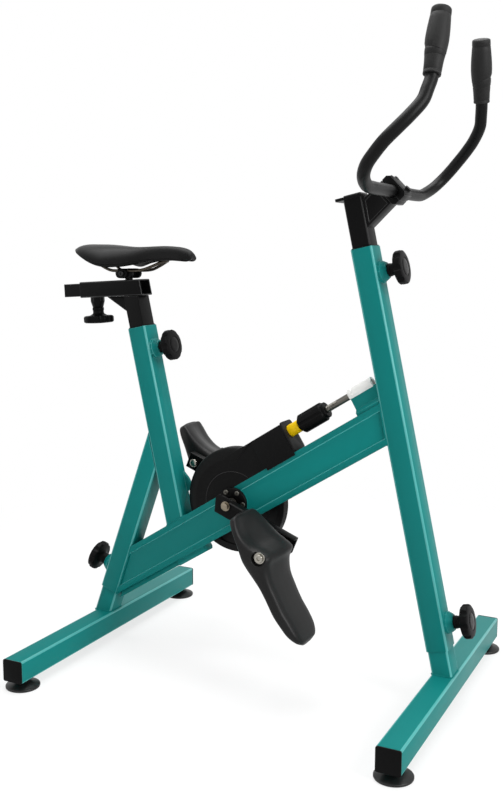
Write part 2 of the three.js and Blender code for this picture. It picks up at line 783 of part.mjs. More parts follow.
// The pedal: a broad block behind its pin and a dished tongue that hangs below it
function pedalBody() {
  const rings = pedalShares.map(([rx, rz, fx, fz, width], i) => {
    const rear = new THREE.Vector2(rx, rz).multiplyScalar(pedalReach);
    const front = new THREE.Vector2(fx, fz).multiplyScalar(pedalReach);
    const dished = i > 6 && i < pedalShares.length - 2 ? pedalDish : 0;
    const half = (pedalWidth / 2) * width;
    const thickness = rear.distanceTo(front);
    return pedalRingShares.map(([y, t]) => {
      const sunk = t === 1 && Math.abs(y) < 0.8 ? (dished / thickness) * (1 - y * y) : 0;
      const at = rear.clone().lerp(front, t - sunk);
      return [at.x, y * half, at.y];
    });
  });
  return loft(rings);
}

// An arc in the rail's frame as a list of points
function arc(radius, from, to, steps, x = 0, z = 0) {
  const points = [];
  for (let i = 0; i <= steps; i += 1) {
    const angle = from + ((to - from) * i) / steps;
    points.push([x + radius * Math.cos(angle), z + radius * Math.sin(angle)]);
  }
  return points;
}

// The drum part of the cover as a solid, shrunk by an amount on every side
function coverDrum(inset) {
  const r = coverRadius - inset;
  const flat = halfWidth - inset;
  const crease = coverCrease - inset;
  const drum = turned([
    [0, -flat], [crease, -flat], [r - coverShoulder * 0.25, -flat + coverShoulder * 0.55],
    [r, -flat + coverShoulder], [r, flat - coverShoulder],
    [r - coverShoulder * 0.25, flat - coverShoulder * 0.55], [crease, flat], [0, flat],
  ], wheelSteps);
  return alongY(drum);
}

// Wheel cover: half a drum over the wheel with a neck that runs forwards over the brake
function buildCover() {
  const level = railTop + weldGap;
  const neckRear = coverRadius * 0.25;
  const shell = (inset) => {
    const narrow = block(neckRear, neckStep + neckLap + inset, -halfWidth + inset, halfWidth - inset,
      level - overrun, neckTop - inset);
    return coverDrum(inset).add(narrow);
  };
  const above = block(-wheelbase, neckEnd, -baseWidth, baseWidth, level, wheelbase);
  let body = shell(0).subtract(shell(coverWall)).intersect(above);
  const side = [
    [neckStep + neckLip, level - neckLap], [neckEnd, level - neckLap], [neckEnd, neckTop],
    [neckStep, neckTop],
    [neckStep, level - neckLap + neckLip],
  ];
  const wide = slab(side, 2 * neckHalfWidth);
  const hollow = block(neckStep + coverWall, wheelbase, -neckHalfWidth + coverWall, neckHalfWidth - coverWall,
    -wheelbase, neckTop - coverWall);
  const passage = block(0, wheelbase, -halfWidth + coverWall, halfWidth - coverWall, level - overrun,
    neckTop - coverWall);
  body = body.add(wide.subtract(hollow)).subtract(passage);
  const belowTop = block(-wheelbase, wheelbase, -halfWidth - weldGap, halfWidth + weldGap, -wheelbase, level);
  body = body.subtract(belowTop);
  place(rail, 'wheel_cover', body, blackPlastic);
  const plateHalf = neckHalfWidth - coverWall - weldGap;
  const plate = shift(alongX(bar(endPlateTop - level, 2 * endPlateHalfWidth, endPlateCorner,
    endPlateThickness)), neckEnd + weldGap, 0, (endPlateTop + level) / 2);
  const lip = block(neckEnd - neckLip, neckEnd + weldGap + endPlateThickness / 2, -plateHalf, plateHalf,
    level, neckTop - coverWall - weldGap);
  const hole = shift(alongX(rod(springRadius + runGap, 0, wheelbase, pushSteps)), 0, 0, screwLine);
  place(rail, 'cover_end_plate', plate.add(lip).subtract(hole), charcoal);
}

// Brake block with its stem, the push tube around it and the adjuster that turns on the fixed rod
function buildBrake() {
  const face = slab([
    [wheelRadius * 0.6, screwLine - brakeBlockHeight / 2], [brakeBlockEnd, screwLine - brakeBlockHeight / 2],
    [brakeBlockEnd, screwLine + brakeBlockHeight / 2], [wheelRadius * 0.6, screwLine + brakeBlockHeight / 2],
  ], brakeBlockWidth);
  const swept = shift(alongY(rod(wheelRadius + 3 * runGap, -tubeWidth, tubeWidth, wheelSteps)),
      brakeTravel, 0, 0);
  const stemEnd = rodStart - brakeTravel;
  const stem = shift(alongX(rod(brakeStemRadius, brakeBlockEnd - brakeTravel, stemEnd, pushSteps)), 0, 0,
      screwLine);
  place(rail, 'brake_block', face.subtract(swept).add(stem), charcoal);
  const push = turned([
    [brakeStemRadius + weldGap, springStart], [springRadius, springStart], [springRadius, springEnd],
    [brakeStemRadius + weldGap, springEnd], [brakeStemRadius + weldGap, springStart],
  ], pushSteps);
  place(rail, 'push_tube', shift(alongX(push), 0, 0, screwLine), yellow);
  const level = railTop + weldGap;
  const mastFace = mastAhead(screwLine);
  const knobStart = springEnd + runGap;
  const bareSpan = mastFace - knobStart - adjusterLength;
  const [foot, top] = [bracketFootHalf, bracketTopHalf];
  const outline = [
    [-foot, level], [-foot, level + bracketShelf], [-top * 1.25, level + bracketShelf * 2.2],
    [-top, screwLine - bracketShelf],
    [top, screwLine - bracketShelf], [top * 1.25, level + bracketShelf * 2.2],
    [foot, level + bracketShelf], [foot, level],
  ];
  let bracket = prismX(outline, mastFace - bareSpan * bracketBackShare, wheelbase);
  bracket = bracket.subtract(carried(mastSpace.add(block(0, wheelbase, -baseWidth, baseWidth, -wheelbase,
      wheelbase)), mast, rail));
  const sleeveSpace = shift(alongX(rod(rodSleeveRadius + weldGap, 0, wheelbase, pushSteps)), 0, 0, screwLine);
  place(rail, 'adjuster_bracket', bracket.subtract(sleeveSpace), teal);
  const sleeveStart = mastFace - bareSpan * rodSleeveBackShare;
  const sleeveEnd = mastFace - bareSpan * rodSleeveFrontShare;
  const sleeve = turned([
    [rodRadius + weldGap, sleeveStart], [rodSleeveRadius - weldGap, sleeveStart],
    [rodSleeveRadius, sleeveStart + runGap], [rodSleeveRadius, sleeveEnd], [rodRadius + weldGap, sleeveEnd],
    [rodRadius + weldGap, sleeveStart],
  ], pushSteps);
  place(rail, 'adjuster_sleeve', shift(alongX(sleeve), 0, 0, screwLine), white);
  const shaft = rod(rodRadius, rodStart, sleeveEnd - runGap, pushSteps);
  place(rail, 'adjuster_rod', shift(alongX(shaft), 0, 0, screwLine), steel);
  place(rail, 'brake_adjuster', shift(alongX(adjusterKnob()), knobStart, 0, screwLine), blackPlastic);
}

// How far ahead of the axle the mast's rear face stands, along the rail at a height over it
function mastAhead(height) {
  const start = new THREE.Vector3(0, 0, height).applyMatrix4(rail.matrixWorld);
  start.applyMatrix4(mast.matrixWorld.clone().invert());
  return (-halfTube - start.x) / Math.cos(rad(railRiseDeg - mastLeanDeg));
}

// A lobed grip bored for the rod, with a smooth shoulder at each end
function adjusterKnob() {
  const outline = new THREE.Shape();
  const steps = adjusterLobeCount * 5;
  for (let i = 0; i < steps; i += 1) {
    const angle = (2 * Math.PI * i) / steps;
    const r = adjusterRadius - adjusterLobeDepth * (0.5 - 0.5 * Math.cos(adjusterLobeCount * angle));
    outline[i ? 'lineTo' : 'moveTo'](r * Math.cos(angle), r * Math.sin(angle));
  }
  const grip = new THREE.ExtrudeGeometry(outline, {
    depth: adjusterLength - 4 * adjusterShoulder, bevelEnabled: true, bevelThickness: adjusterShoulder,
    bevelSize: adjusterShoulder, bevelOffset: -adjusterShoulder, bevelSegments: 1,
  });
  grip.translate(0, 0, 2 * adjusterShoulder);
  const neck = rod(springRadius, 0, adjusterLength, pushSteps);
  const bore = rod(rodRadius + runGap, -overrun, adjusterLength + overrun, pushSteps);
  return solid(grip).add(neck).subtract(bore);
}

// Seat post with the gusset under the slide, and the slide's outer sleeve
function buildSlide() {
  const length = postShow + postHidden;
  const top = seatTubeLength + postShow;
  const underSlide = carried(block(-wheelbase, wheelbase, -baseWidth, baseWidth, -weldGap, wheelbase),
      slide, seat);
  let post = shift(tube(postDepth, postWidth, postCorner, postWall, length + overrun), 0, 0, top - length);
  const half = postDepth / 2;
  const gusset = slab([
    [-half + postWall / 2, top + overrun], [-half - slideGussetReach, top + overrun],
    [-half - slideGussetReach, top + slideGussetReach * 0.31], [-half + postWall / 2, top - slideGussetDrop],
  ], slideGussetThickness);
  post = post.add(gusset).subtract(underSlide);
  place(seat, 'seat_post', post, blackSteel);
  const rake = Math.tan(rad(slideFrontRake)) * slideHeight;
  const profile = slab([
    [-slideBack, 0], [slideFront, 0], [slideFront - rake, slideHeight], [-slideBack, slideHeight],
  ], slideWidth);
  const bore = shift(alongX(bar(slideHeight - 2 * slideWall, slideWidth - 2 * slideWall, slideCorner / 2,
    2 * slideBack)), -1.5 * slideBack, 0, slideHeight / 2);
  const rounded = shift(alongX(bar(slideHeight, slideWidth, slideCorner, 2 * slideBack)), -1.5 * slideBack, 0,
    slideHeight / 2);
  const slot = block(-saddleBack - cradleNeckRadius - slideTravelBack - slideGap,
    -saddleBack + cradleNeckRadius + slideTravelFront + slideGap,
    -cradleNeckRadius - slideGap, cradleNeckRadius + slideGap, slideHeight / 2, slideHeight + overrun);
  const knobBoss = turned([
    [0, slideWall / 2], [bossTopRadius, slideWall / 2], [bossTopRadius, -slideBossLength / 3],
    [bossTopRadius * 0.7, -slideBossLength], [0, -slideBossLength],
  ], smallSteps);
  let sleeve = profile.intersect(rounded).add(shift(knobBoss, -slideBossBack, 0,
      0)).subtract(bore).subtract(slot);
  sleeve = sleeve.subtract(shift(rod(screwRadius + slideGap, -slideBossLength - overrun, slideHeight / 2),
      -slideBossBack, 0, 0));
  place(slide, 'saddle_slide', sleeve, blackSteel);
  const tip = slideWall + slideGap;
  const knob = clampKnob(slideBossLength + tip + runGap - 2 * runGap).rotate([180, 0, 0]);
  place(slide, 'saddle_slide_knob', shift(knob, -slideBossBack, 0, tip - 2 * runGap), blackPlastic);
  const back = -slideBack - slideTubeShow;
  const front = slideFront - rake - slideTravelFront - 2 * slideGap;
  const size = [slideHeight - 2 * slideWall - 2 * slideGap, slideWidth - 2 * slideWall - 2 * slideGap];
  const inner = shift(alongX(tube(size[0], size[1], slideCorner / 2, slideTubeWall, front - back)), back, 0,
    slideHeight / 2);
  place(slide, 'slide_tube', inner.add(saddleNeck()), blackSteel);
  const plugOut = bar(size[0], size[1], slideCorner / 2, plugThickness);
  const plugIn = bar(size[0] - 2 * slideTubeWall - 2 * runGap, size[1] - 2 * slideTubeWall - 2 * runGap,
    slideCorner / 2, plugThickness / 2 + plugDepth);
  const plug = shift(plugOut, 0, 0, -plugThickness - weldGap).add(shift(plugIn, 0, 0, -plugThickness / 2));
  place(slide, 'slide_tube_plug', shift(alongX(plug), back, 0, slideHeight / 2), blackPlastic);
}

// The neck that rises from the slide's inner tube through the slot and carries the clamp's barrel
function saddleNeck() {
  const top = slideHeight + drumRise;
  const foot = slideHeight - slideWall - slideTubeWall;
  const neck = shift(rod(cradleNeckRadius, foot, top, smallSteps), -saddleBack, 0, 0);
  const barrel = shift(alongY(rod(barrelRadius, -barrelHalf, barrelHalf, pushSteps)), -saddleBack, 0, top);
  const bolt = shift(alongY(rod(clampBoltRadius + runGap, -drumWidth, drumWidth, smallSteps)), -saddleBack,
      0, top);
  return neck.add(barrel).subtract(bolt);
}

const saddle = frameAt(slide, -saddleBack, slideHeight + drumRise, rad(slideRiseDeg));

// Saddle from the tail to the nose in shares: half width, crown and lower edge
const saddleHalfShares = [0.44, 0.78, 0.95, 1.0, 0.95, 0.76, 0.55, 0.41, 0.34, 0.30, 0.27, 0.25, 0.19];
const saddleTopShares = [0.94, 1.0, 1.0, 0.995, 0.97, 0.935, 0.91, 0.915, 0.93, 0.94, 0.925, 0.88, 0.77];
const saddleEdgeShares = [0.80, 0.66, 0.50, 0.36, 0.25, 0.215, 0.27, 0.36, 0.42, 0.45, 0.46, 0.44, 0.41];
const saddleStationShares = [0, 0.01, 0.03, 0.06, 0.10, 0.15, 0.21, 0.27, 0.33, 0.39, 0.45, 0.51, 0.57,
  0.64, 0.71, 0.78, 0.85, 0.91, 0.95, 0.98, 0.993, 1];
const saddleEndShare = 0.05;
const shellStation = 3;
const archShares = [0.28, 0.55, 0.78, 0.94, 1];

// Height of a rounded arch over its springing at a share of its half width
function archRise(share) {
  return (1 - share ** 2.5) ** 0.62;
}

// A cross-section between two arches that spring from one edge
function archRing(x, half, top, innerHalf, innerTop, edge) {
  const ring = [];
  for (const share of [...archShares].reverse()) ring.push([x, -half * share,
      edge + (top - edge) * archRise(share)]);
  for (const share of [0, ...archShares]) ring.push([x, half * share, edge + (top - edge) * archRise(share)]);
  const inner = (share) => [x, innerHalf * share, edge + (innerTop - edge) * archRise(Math.abs(share))];
  for (const share of [...archShares].reverse()) ring.push(inner(share));
  for (const share of [0, ...archShares]) ring.push(inner(-share));
  return ring;
}

// A skin of the saddle between two depths under its crown, from one station to another
function saddleSkin(first, last, topDepth, sideDepth, thickness, sideThickness) {
  const back = saddleNoseForward - saddleLength;
  const rings = [];
  for (let i = first; i <= last; i += 1) {
    const t = saddleStationShares[i];
    const end = Math.min(t, 1 - t) / saddleEndShare;
    const round = end < 1 ? Math.sqrt(1 - (1 - end) ** 2) : 1;
    const edge = eased(saddleEdgeShares, t) * saddleRise;
    const crown = edge + (eased(saddleTopShares, t) * saddleRise - edge) * (0.4 + 0.6 * round);
    const half = eased(saddleHalfShares, t) * (saddleWidth / 2) * (0.75 + 0.25 * round);
    const depthShare = (depth) => edge + Math.max(crown - depth - edge, 0) * round;
    const top = topDepth > 0 ? depthShare(topDepth) : crown;
    const outer = half - sideDepth;
    const closed = i === first || i === last;
    const innerTop = closed ? edge : Math.min(depthShare(topDepth + thickness), top - thickness / 2);
    rings.push(archRing(t * saddleLength + back, outer, top, outer - sideThickness,
        Math.max(innerTop, edge), edge));
  }
  return loft(rings);
}

// The bent wire under the saddle, one piece from one side's tail over the nose to the other
const wireShares = [
  [-0.62, 0.50, 0.50], [-0.55, 0.46, 0.38], [-0.43, 0.35, 0.18], [-0.30, 0.262, 0.103], [0, 0.262, 0.103],
  [0.27, 0.262, 0.103], [0.42, 0.25, 0.14], [0.62, 0.18, 0.28], [0.76, 0.12, 0.40], [0.82, 0.05, 0.43],
];

function saddleWire(radius) {
  const tail = saddleLength - saddleNoseForward;
  const side = wireShares.map(([x, y, z]) => new THREE.Vector3(
    x * tail, y * (saddleWidth / 2), z * saddleRise));
  const back = side.map((p) => new THREE.Vector3(p.x, -p.y, p.z)).reverse();
  const path = new THREE.CatmullRomCurve3([...side, ...back], false, 'centripetal');
  return alongPath(path, radius, 0, wireSteps, wireSides);
}

// A round bar or tube along a path
function alongPath(path, radius, bore, steps, sides) {
  const ring = (r, count) => {
    const points = [];
    for (let i = 0; i < count; i += 1) {
      const angle = (2 * Math.PI * i) / count;
      points.push(new THREE.Vector2(r * Math.cos(angle), r * Math.sin(angle)));
    }
    return points;
  };
  const shape = new THREE.Shape(ring(radius, sides));
  if (bore > 0) shape.holes.push(new THREE.Path(ring(bore, Math.round(sides * 0.6)).reverse()));
  return solid(new THREE.ExtrudeGeometry(shape, { steps, bevelEnabled: false, extrudePath: path }));
}

// A stadium outline plate in the XZ plane between two distances from the centre plane
function clampPlate(y0, y1, length, radius) {
  const half = length / 2 - radius;
  const points = [
    ...arc(radius, -Math.PI / 2, Math.PI / 2, 8, half),
    ...arc(radius, Math.PI / 2, 1.5 * Math.PI, 8, -half),
  ];
  return slab(points, y1 - y0, (y0 + y1) / 2);
}

function buildSaddle() {
  const last = saddleStationShares.length - 1;
  const pad = saddleSkin(0, last, 0, 0, padThickness, padSide);
  let shell = saddleSkin(shellStation, last - shellStation, padThickness + shellGap,
      padSide + shellClearance, shellThickness,
    shellThickness);
  const tail = saddleLength - saddleNoseForward;
  const front = block(tail * 0.70, tail * 0.92, -saddleWidth * 0.075, saddleWidth * 0.075, saddleRise * 0.34,
    saddleRise);
  const space = saddleSkin(shellStation, last - shellStation, padThickness + shellGap,
      padSide + shellClearance, saddleRise,
    shellThickness);
  shell = shell.add(front.intersect(space));
  for (const side of [-1, 1]) {
    const [y0, y1] = [saddleWidth * 0.195, saddleWidth * 0.335];
    const rear = block(-tail * 0.68, -tail * 0.57, side > 0 ? y0 : -y1, side > 0 ? y1 : -y0,
      saddleRise * 0.36, saddleRise);
    shell = shell.add(rear.intersect(space));
  }
  const wire = saddleWire(railWireRadius);
  place(saddle, 'saddle_pad', pad, rubber);
  place(saddle, 'saddle_shell', mainBody(shell.subtract(saddleWire(railWireRadius + weldGap))), blackPlastic);
  place(saddle, 'saddle_rails', wire, steel);
  const bore = alongY(rod(clampBoltRadius + weldGap, -saddleWidth, saddleWidth, smallSteps));
  const groove = saddleWire(railWireRadius + weldGap);
  const seam = saddleWidth / 2 * railWireShare;
  for (const [side, word] of [[-1, 'right'], [1, 'left']]) {
    const inner = clampPlate(barrelHalf + weldGap, seam - weldGap, drumLength, drumRadius).subtract(bore);
    const outer = clampPlate(seam + weldGap, drumWidth / 2, outerPlateLength, drumRadius).subtract(bore);
    place(saddle, `clamp_inner_${word}`, inner.scale([1, side, 1]).subtract(groove), blackSteel);
    place(saddle, `clamp_outer_${word}`, outer.scale([1, side, 1]).subtract(groove), blackSteel);
  }
  const headStart = drumWidth / 2 + weldGap;
  const bolt = rod(clampBoltRadius, -headStart, headStart, smallSteps)
    .add(rod(clampBoltHeadRadius, headStart, headStart + clampBoltHead, smallSteps))
    .add(rod(clampBoltHeadRadius, -headStart - clampBoltHead, -headStart, smallSteps));
  place(saddle, 'saddle_clamp_bolt', alongY(bolt), steel);
}

const barPostTop = mastStart + mastLength + barPostShow;
const barAxisHeight = barPostTop - clampDrop;

// Handlebar post, its top plate, the bracket in front of it and the two halves of the bar's clamp
function buildStem() {
  const length = barPostShow + barPostHidden;
  const post = shift(tube(postDepth, postWidth, postCorner, postWall, length), 0, 0, barPostTop - length);
  const half = postDepth / 2;
  const [x0, x1] = [-half - postPlateOverhang, half + weldGap];
  const plate = block(x0, x1, -postPlateHalfWidth, postPlateHalfWidth, barPostTop - postWall,
    barPostTop + postPlate);
  const raised = shift(bar(postDepth - postCorner, postWidth - postCorner, postCorner, 2 * postPlate), 0, 0,
    barPostTop);
  place(mast, 'handlebar_post', post.add(plate).add(raised), blackSteel);
  const face = half + weldGap;
  const end = -clampBack - weldGap;
  const outline = [
    armFace(face, stemArmHigh), armFace(face, -stemArmLow),
    onArm([end, -stemArmLow]), onArm([end, stemArmHigh]),
  ];
  const [floor, wall, open] = [bracketPlate - stemArmLow, face + bracketPlate, stemArmHigh + overrun];
  const pocket = [
    armFace(wall, open), armFace(wall, floor),
    onArm([end - bracketPlate, floor]), onArm([end - bracketPlate, open]),
  ];
  const bracket = slab(outline, bracketWidth).subtract(slab(pocket, bracketWidth - 2 * bracketPlate));
  place(mast, 'stem_bracket', bracket, blackSteel);
  buildClamp();
}

// A point given along the stem's arm and across it from the bar's axis, in the mast's frame
function onArm([along, across]) {
  const [c, n] = [Math.cos(rad(stemArmDeg)), Math.sin(rad(stemArmDeg))];
  return [clampForward + along * c - across * n, barAxisHeight + along * n + across * c];
}

// The point of the arm's line at a distance across it that lies at x in the mast's frame
function armFace(x, across) {
  const along = (x - clampForward + across * Math.sin(rad(stemArmDeg))) / Math.cos(rad(stemArmDeg));
  return onArm([along, across]);
}

// The clamp on the arm's end: a rear half on the bracket and a front half with a screw lug
function buildClamp() {
  const bore = shift(alongY(rod(handlebarRadius + weldGap * 2, -clampWidth, clampWidth, pushSteps)),
    clampForward, 0, barAxisHeight);
  const cut = clampSplit / 2;
  const base = slab([
    [-clampBack, clampChamfer - clampLow], [clampChamfer - clampBack, -clampLow], [-cut, -clampLow],
    [-cut, clampHigh], [-clampBack, clampHigh],
  ].map(onArm), clampWidth).subtract(bore);
  const cap = slab([
    [cut, -clampLow], [clampFront - clampChamfer, -clampLow], [clampFront, clampChamfer - clampLow],
    [clampFront, clampHigh - clampChamfer], [clampFront - clampChamfer, clampHigh], [cut, clampHigh],
  ].map(onArm), clampWidth).subtract(bore);
  const [x, z] = onArm([clampFront - weldGap, clampLugRadius + clampChamfer / 2 - clampLow]);
  const lug = alongX(rod(clampLugRadius, 0, clampLugLength, smallSteps)).rotate([0, -stemArmDeg, 0]);
  place(mast, 'bar_clamp_base', base, blackSteel);
  place(mast, 'bar_clamp_cap', cap.add(shift(lug, x, 0, z)), blackSteel);
}

// Half of the bar from its middle to the grip in shares of its half width, reach and rise
const barShares = [
  [0.30, 0, 0], [0.56, 0.01, 0], [0.70, 0.015, 0.006], [0.83, 0.054, 0.035], [0.919, 0.115, 0.07],
  [0.976, 0.2, 0.115], [1, 0.33, 0.176], [1, 0.46, 0.237], [0.967, 0.63, 0.311], [0.919, 0.777, 0.381],
  [0.846, 0.908, 0.465], [0.800, 0.942, 0.530],
];
const barGripShare = 0.612;
const barEndShare = 0.597;

function buildHandlebar() {
  const at = ([y, x, z]) => new THREE.Vector3(x * handlebarReach, y * handlebarHalfWidth, z * handlebarRise);
  const tip = at([barEndShare, 1, 1]);
  const gripFoot = at([barEndShare + (1 - barGripShare) * 0.39, 0.968, barGripShare]);
  const along = tip.clone().sub(gripFoot).normalize();
  const onLine = (distance) => gripFoot.clone().addScaledVector(along, distance);
  const end = gripLength - 2 * gripWall;
  const side = [...barShares.map(at), onLine(-gripLength * 0.06), onLine(0), onLine(end * 0.5), onLine(end)];
  const mirrored = side.map((p) => new THREE.Vector3(p.x, -p.y, p.z)).reverse();
  const path = new THREE.CatmullRomCurve3([...mirrored, new THREE.Vector3(), ...side], false, 'centripetal');
  const barFrame = frameAt(mast, clampForward, barAxisHeight, rad(mastLeanDeg));
  const wall = handlebarRadius - handlebarWall;
  place(barFrame, 'handlebar', alongPath(path, handlebarRadius, wall, handlebarSteps, handlebarSides),
      blackSteel);
  const bore = handlebarRadius + 2 * weldGap;
  const [low, high] = [gripEndRadius, gripRadius];
  const inside = gripLength - gripWall;
  const profile = [
    [bore, 0], [low, 0], [low * 1.03, gripLength * 0.1], [low * 1.12, gripLength * 0.25],
    [high, gripLength * 0.52],
    [high * 0.97, gripLength * 0.68], [high * 0.84, gripLength * 0.88], [high * 0.74, gripLength * 0.96],
    [high * 0.5, gripLength], [0, gripLength], [0, inside], [bore, inside], [bore, 0],
  ];
  for (const [sign, word] of [[-1, 'right'], [1, 'left']]) {
    const grip = turned(profile, gripSteps);
    const axis = new THREE.Vector3(along.x, sign * along.y, along.z);
    const turn = new THREE.Quaternion().setFromUnitVectors(new THREE.Vector3(0, 0, 1), axis);
    const matrix = new THREE.Matrix4().compose(
      new THREE.Vector3(gripFoot.x, sign * gripFoot.y, gripFoot.z), turn, new THREE.Vector3(1, 1, 1));
    place(barFrame, `grip_${word}`, grip.transform(Array.from(matrix.elements)), rubber);
  }
}

buildBase('rear', rearBarX, leg, legStart);
buildBase('front', frontBarX, mast, mastStart);
buildMast();
buildLeg();
buildSeatTube();
buildRail();
buildHousings();
buildWheel();
buildCrankSide(-1, 'right');
buildCrankSide(1, 'left');
buildCover();
buildBrake();
buildSlide();
buildSaddle();
buildStem();
buildHandlebar();

model.updateMatrixWorld(true);
const box = new THREE.Box3().setFromObject(model, true);
const centre = box.getCenter(new THREE.Vector3());
const part = new THREE.Group();
model.position.set(-centre.x, -centre.y, -box.min.z);
part.add(model);
part.updateMatrixWorld(true);

export default part;
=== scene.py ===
"""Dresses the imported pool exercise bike: finer shapes, finishes, a pale stage, soft lamps and a camera."""
import json
import math

import bpy
from mathutils import Matrix, Vector


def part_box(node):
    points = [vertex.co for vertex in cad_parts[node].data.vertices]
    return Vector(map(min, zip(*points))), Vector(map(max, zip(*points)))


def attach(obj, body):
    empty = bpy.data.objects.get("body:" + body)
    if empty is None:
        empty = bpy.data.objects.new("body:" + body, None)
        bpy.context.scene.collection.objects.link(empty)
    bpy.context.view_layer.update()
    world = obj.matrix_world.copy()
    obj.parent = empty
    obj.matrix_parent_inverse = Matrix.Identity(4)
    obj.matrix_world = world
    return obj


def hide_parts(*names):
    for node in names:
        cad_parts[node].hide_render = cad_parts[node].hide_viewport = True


bl_info = {
    "name": "Pool Bike Dressing",
    "version": (1, 0, 0),
    "blender": (4, 5, 0),
    "location": "View3D > Sidebar > Pool Bike",
    "description": "Models the fine shapes and finishes of a pool exercise bike over its packed frame",
    "category": "Object",
}

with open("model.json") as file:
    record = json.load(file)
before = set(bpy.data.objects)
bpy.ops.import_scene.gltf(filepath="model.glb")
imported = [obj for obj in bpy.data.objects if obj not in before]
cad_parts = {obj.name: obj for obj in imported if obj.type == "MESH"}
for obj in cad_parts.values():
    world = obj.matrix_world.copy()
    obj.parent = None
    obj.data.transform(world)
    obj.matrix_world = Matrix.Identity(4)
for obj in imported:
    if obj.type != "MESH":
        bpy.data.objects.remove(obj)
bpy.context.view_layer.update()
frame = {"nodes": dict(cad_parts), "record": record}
behaviour = frame["record"]["behaviour"]
joints = {joint["name"]: joint for joint in behaviour["joints"]}
body_of_node = {node: body for body, nodes in behaviour["bodies"].items() for node in nodes}

FORWARD, LEFT, UP = Vector((1, 0, 0)), Vector((0, 1, 0)), Vector((0, 0, 1))
ALONG_X = Matrix.Rotation(math.pi / 2, 4, "Y")
ALONG_Y = Matrix.Rotation(-math.pi / 2, 4, "X")
SIDES = ((-1, "right"), (1, "left"))


def basis(origin, forward, up):
    """A place whose X runs forwards, Y to the left and Z up, as on the tube that it belongs to."""
    forward, up = Vector(forward).normalized(), Vector(up).normalized()
    place = Matrix((forward, up.cross(forward), up)).transposed().to_4x4()
    place.translation = Vector(origin)
    return place


def facing(origin, outwards):
    """A place whose Z runs along a direction."""
    place = Vector(outwards).to_track_quat("Z", "Y").to_matrix().to_4x4()
    place.translation = Vector(origin)
    return place


def shifted(x=0.0, y=0.0, z=0.0):
    return Matrix.Translation((x, y, z))


def joint_point(name):
    return Vector(joints[name]["pos_m"])


def joint_axis(name):
    return Vector(joints[name]["axis"])


def behind(joint, distance):
    """A point at a distance back from a clamp knob's joint, along its screw."""
    return joint_point(joint) - joint_axis(joint) * distance


def meet(point, direction, plane_point, normal):
    """Where a line crosses a plane."""
    return point + direction * ((plane_point - point).dot(normal) / direction.dot(normal))


def around(count, radius, turn=0.0):
    """Points spaced evenly round a circle."""
    for i in range(count):
        angle = math.tau * i / count + turn
        yield radius * math.cos(angle), radius * math.sin(angle)


mast_up, mast_forward = joint_axis("handlebar_height"), joint_axis("mast_knob_turn")
seat_up, seat_forward = joint_axis("seat_height"), joint_axis("seat_height_knob_turn")
leg_up, leg_back = -joint_axis("rear_base_slide"), joint_axis("rear_base_knob_turn")
slide_forward = joint_axis("saddle_fore_aft")
rail_forward = -joint_axis("brake_push")
rail_up = rail_forward.cross(LEFT)
axle = joint_point("crank_turn")
rail_place = basis(axle, rail_forward, rail_up)
saddle_place = basis(joint_point("saddle_tilt"), FORWARD, UP)
bar_place = basis(joint_point("handlebar_tilt"), FORWARD, UP)
stem_place = basis(joint_point("handlebar_tilt"), mast_forward, mast_up)

# From a clamp knob's joint back to the middle and to the far face of its tube
TUBE_MIDDLE, TUBE_FAR_FACE = 0.024, 0.0482
# Height of the brake's line over the axle, square to the rail
BRAKE_LINE = 0.077
# How far a pedal hangs down from level
PEDAL_HANG = math.radians(62.5)
# Faces of a tube that are shorter than this belong to its ends
LONG_FACE = 0.012
# Distance between the points of a weld bead
BEAD_STEP = 0.0011

# Sizes and colours that a user would change


def length(name, description, value):
    return bpy.props.FloatProperty(name=name, description=description, default=value, min=0.0,
                                   unit="LENGTH")


def colour(name, description, *shade):
    return bpy.props.FloatVectorProperty(name=name, description=description, subtype="COLOR", size=4,
                                         default=(*shade, 1))


def power(name, description, value):
    return bpy.props.FloatProperty(name=name, description=description, default=value, unit="POWER")


class BikeSizes(bpy.types.PropertyGroup):
    edge_round: length("Edge round", "Rounding of plates, tube ends and brackets", 0.0009)
    corner_width: length("Corner width", "Faces narrower than this count as a rounded corner", 0.0036)
    bar_radius: length("Handlebar radius", "Outside radius of the handlebar tube", 0.0127)
    bar_half_width: length("Handlebar half width", "From the middle to the bar's widest point", 0.246)
    bar_reach: length("Handlebar reach", "How far the grips stand in front of the crossbar", 0.130)
    bar_rise: length("Handlebar rise", "Height of the grips' tops over the crossbar", 0.316)
    grip_length: length("Grip length", "Length of one hand grip", 0.130)
    grip_radius: length("Grip radius", "Largest radius of a hand grip", 0.022)
    knob_radius: length("Knob radius", "Outside radius of a clamp knob", 0.036)
    saddle_length: length("Saddle length", "From the tail to the nose", 0.307)
    saddle_width: length("Saddle width", "Across the widest part of the saddle", 0.168)
    saddle_rise: length("Saddle rise", "Height of the crown over the clamp's bolt", 0.068)
    pedal_reach: length("Pedal reach", "From the pedal's pin to its toe", 0.203)
    pedal_width: length("Pedal width", "Across the block of a pedal", 0.116)
    grain_size: length("Grain size", "Size of one pebble in the saddle's skin", 0.0016)


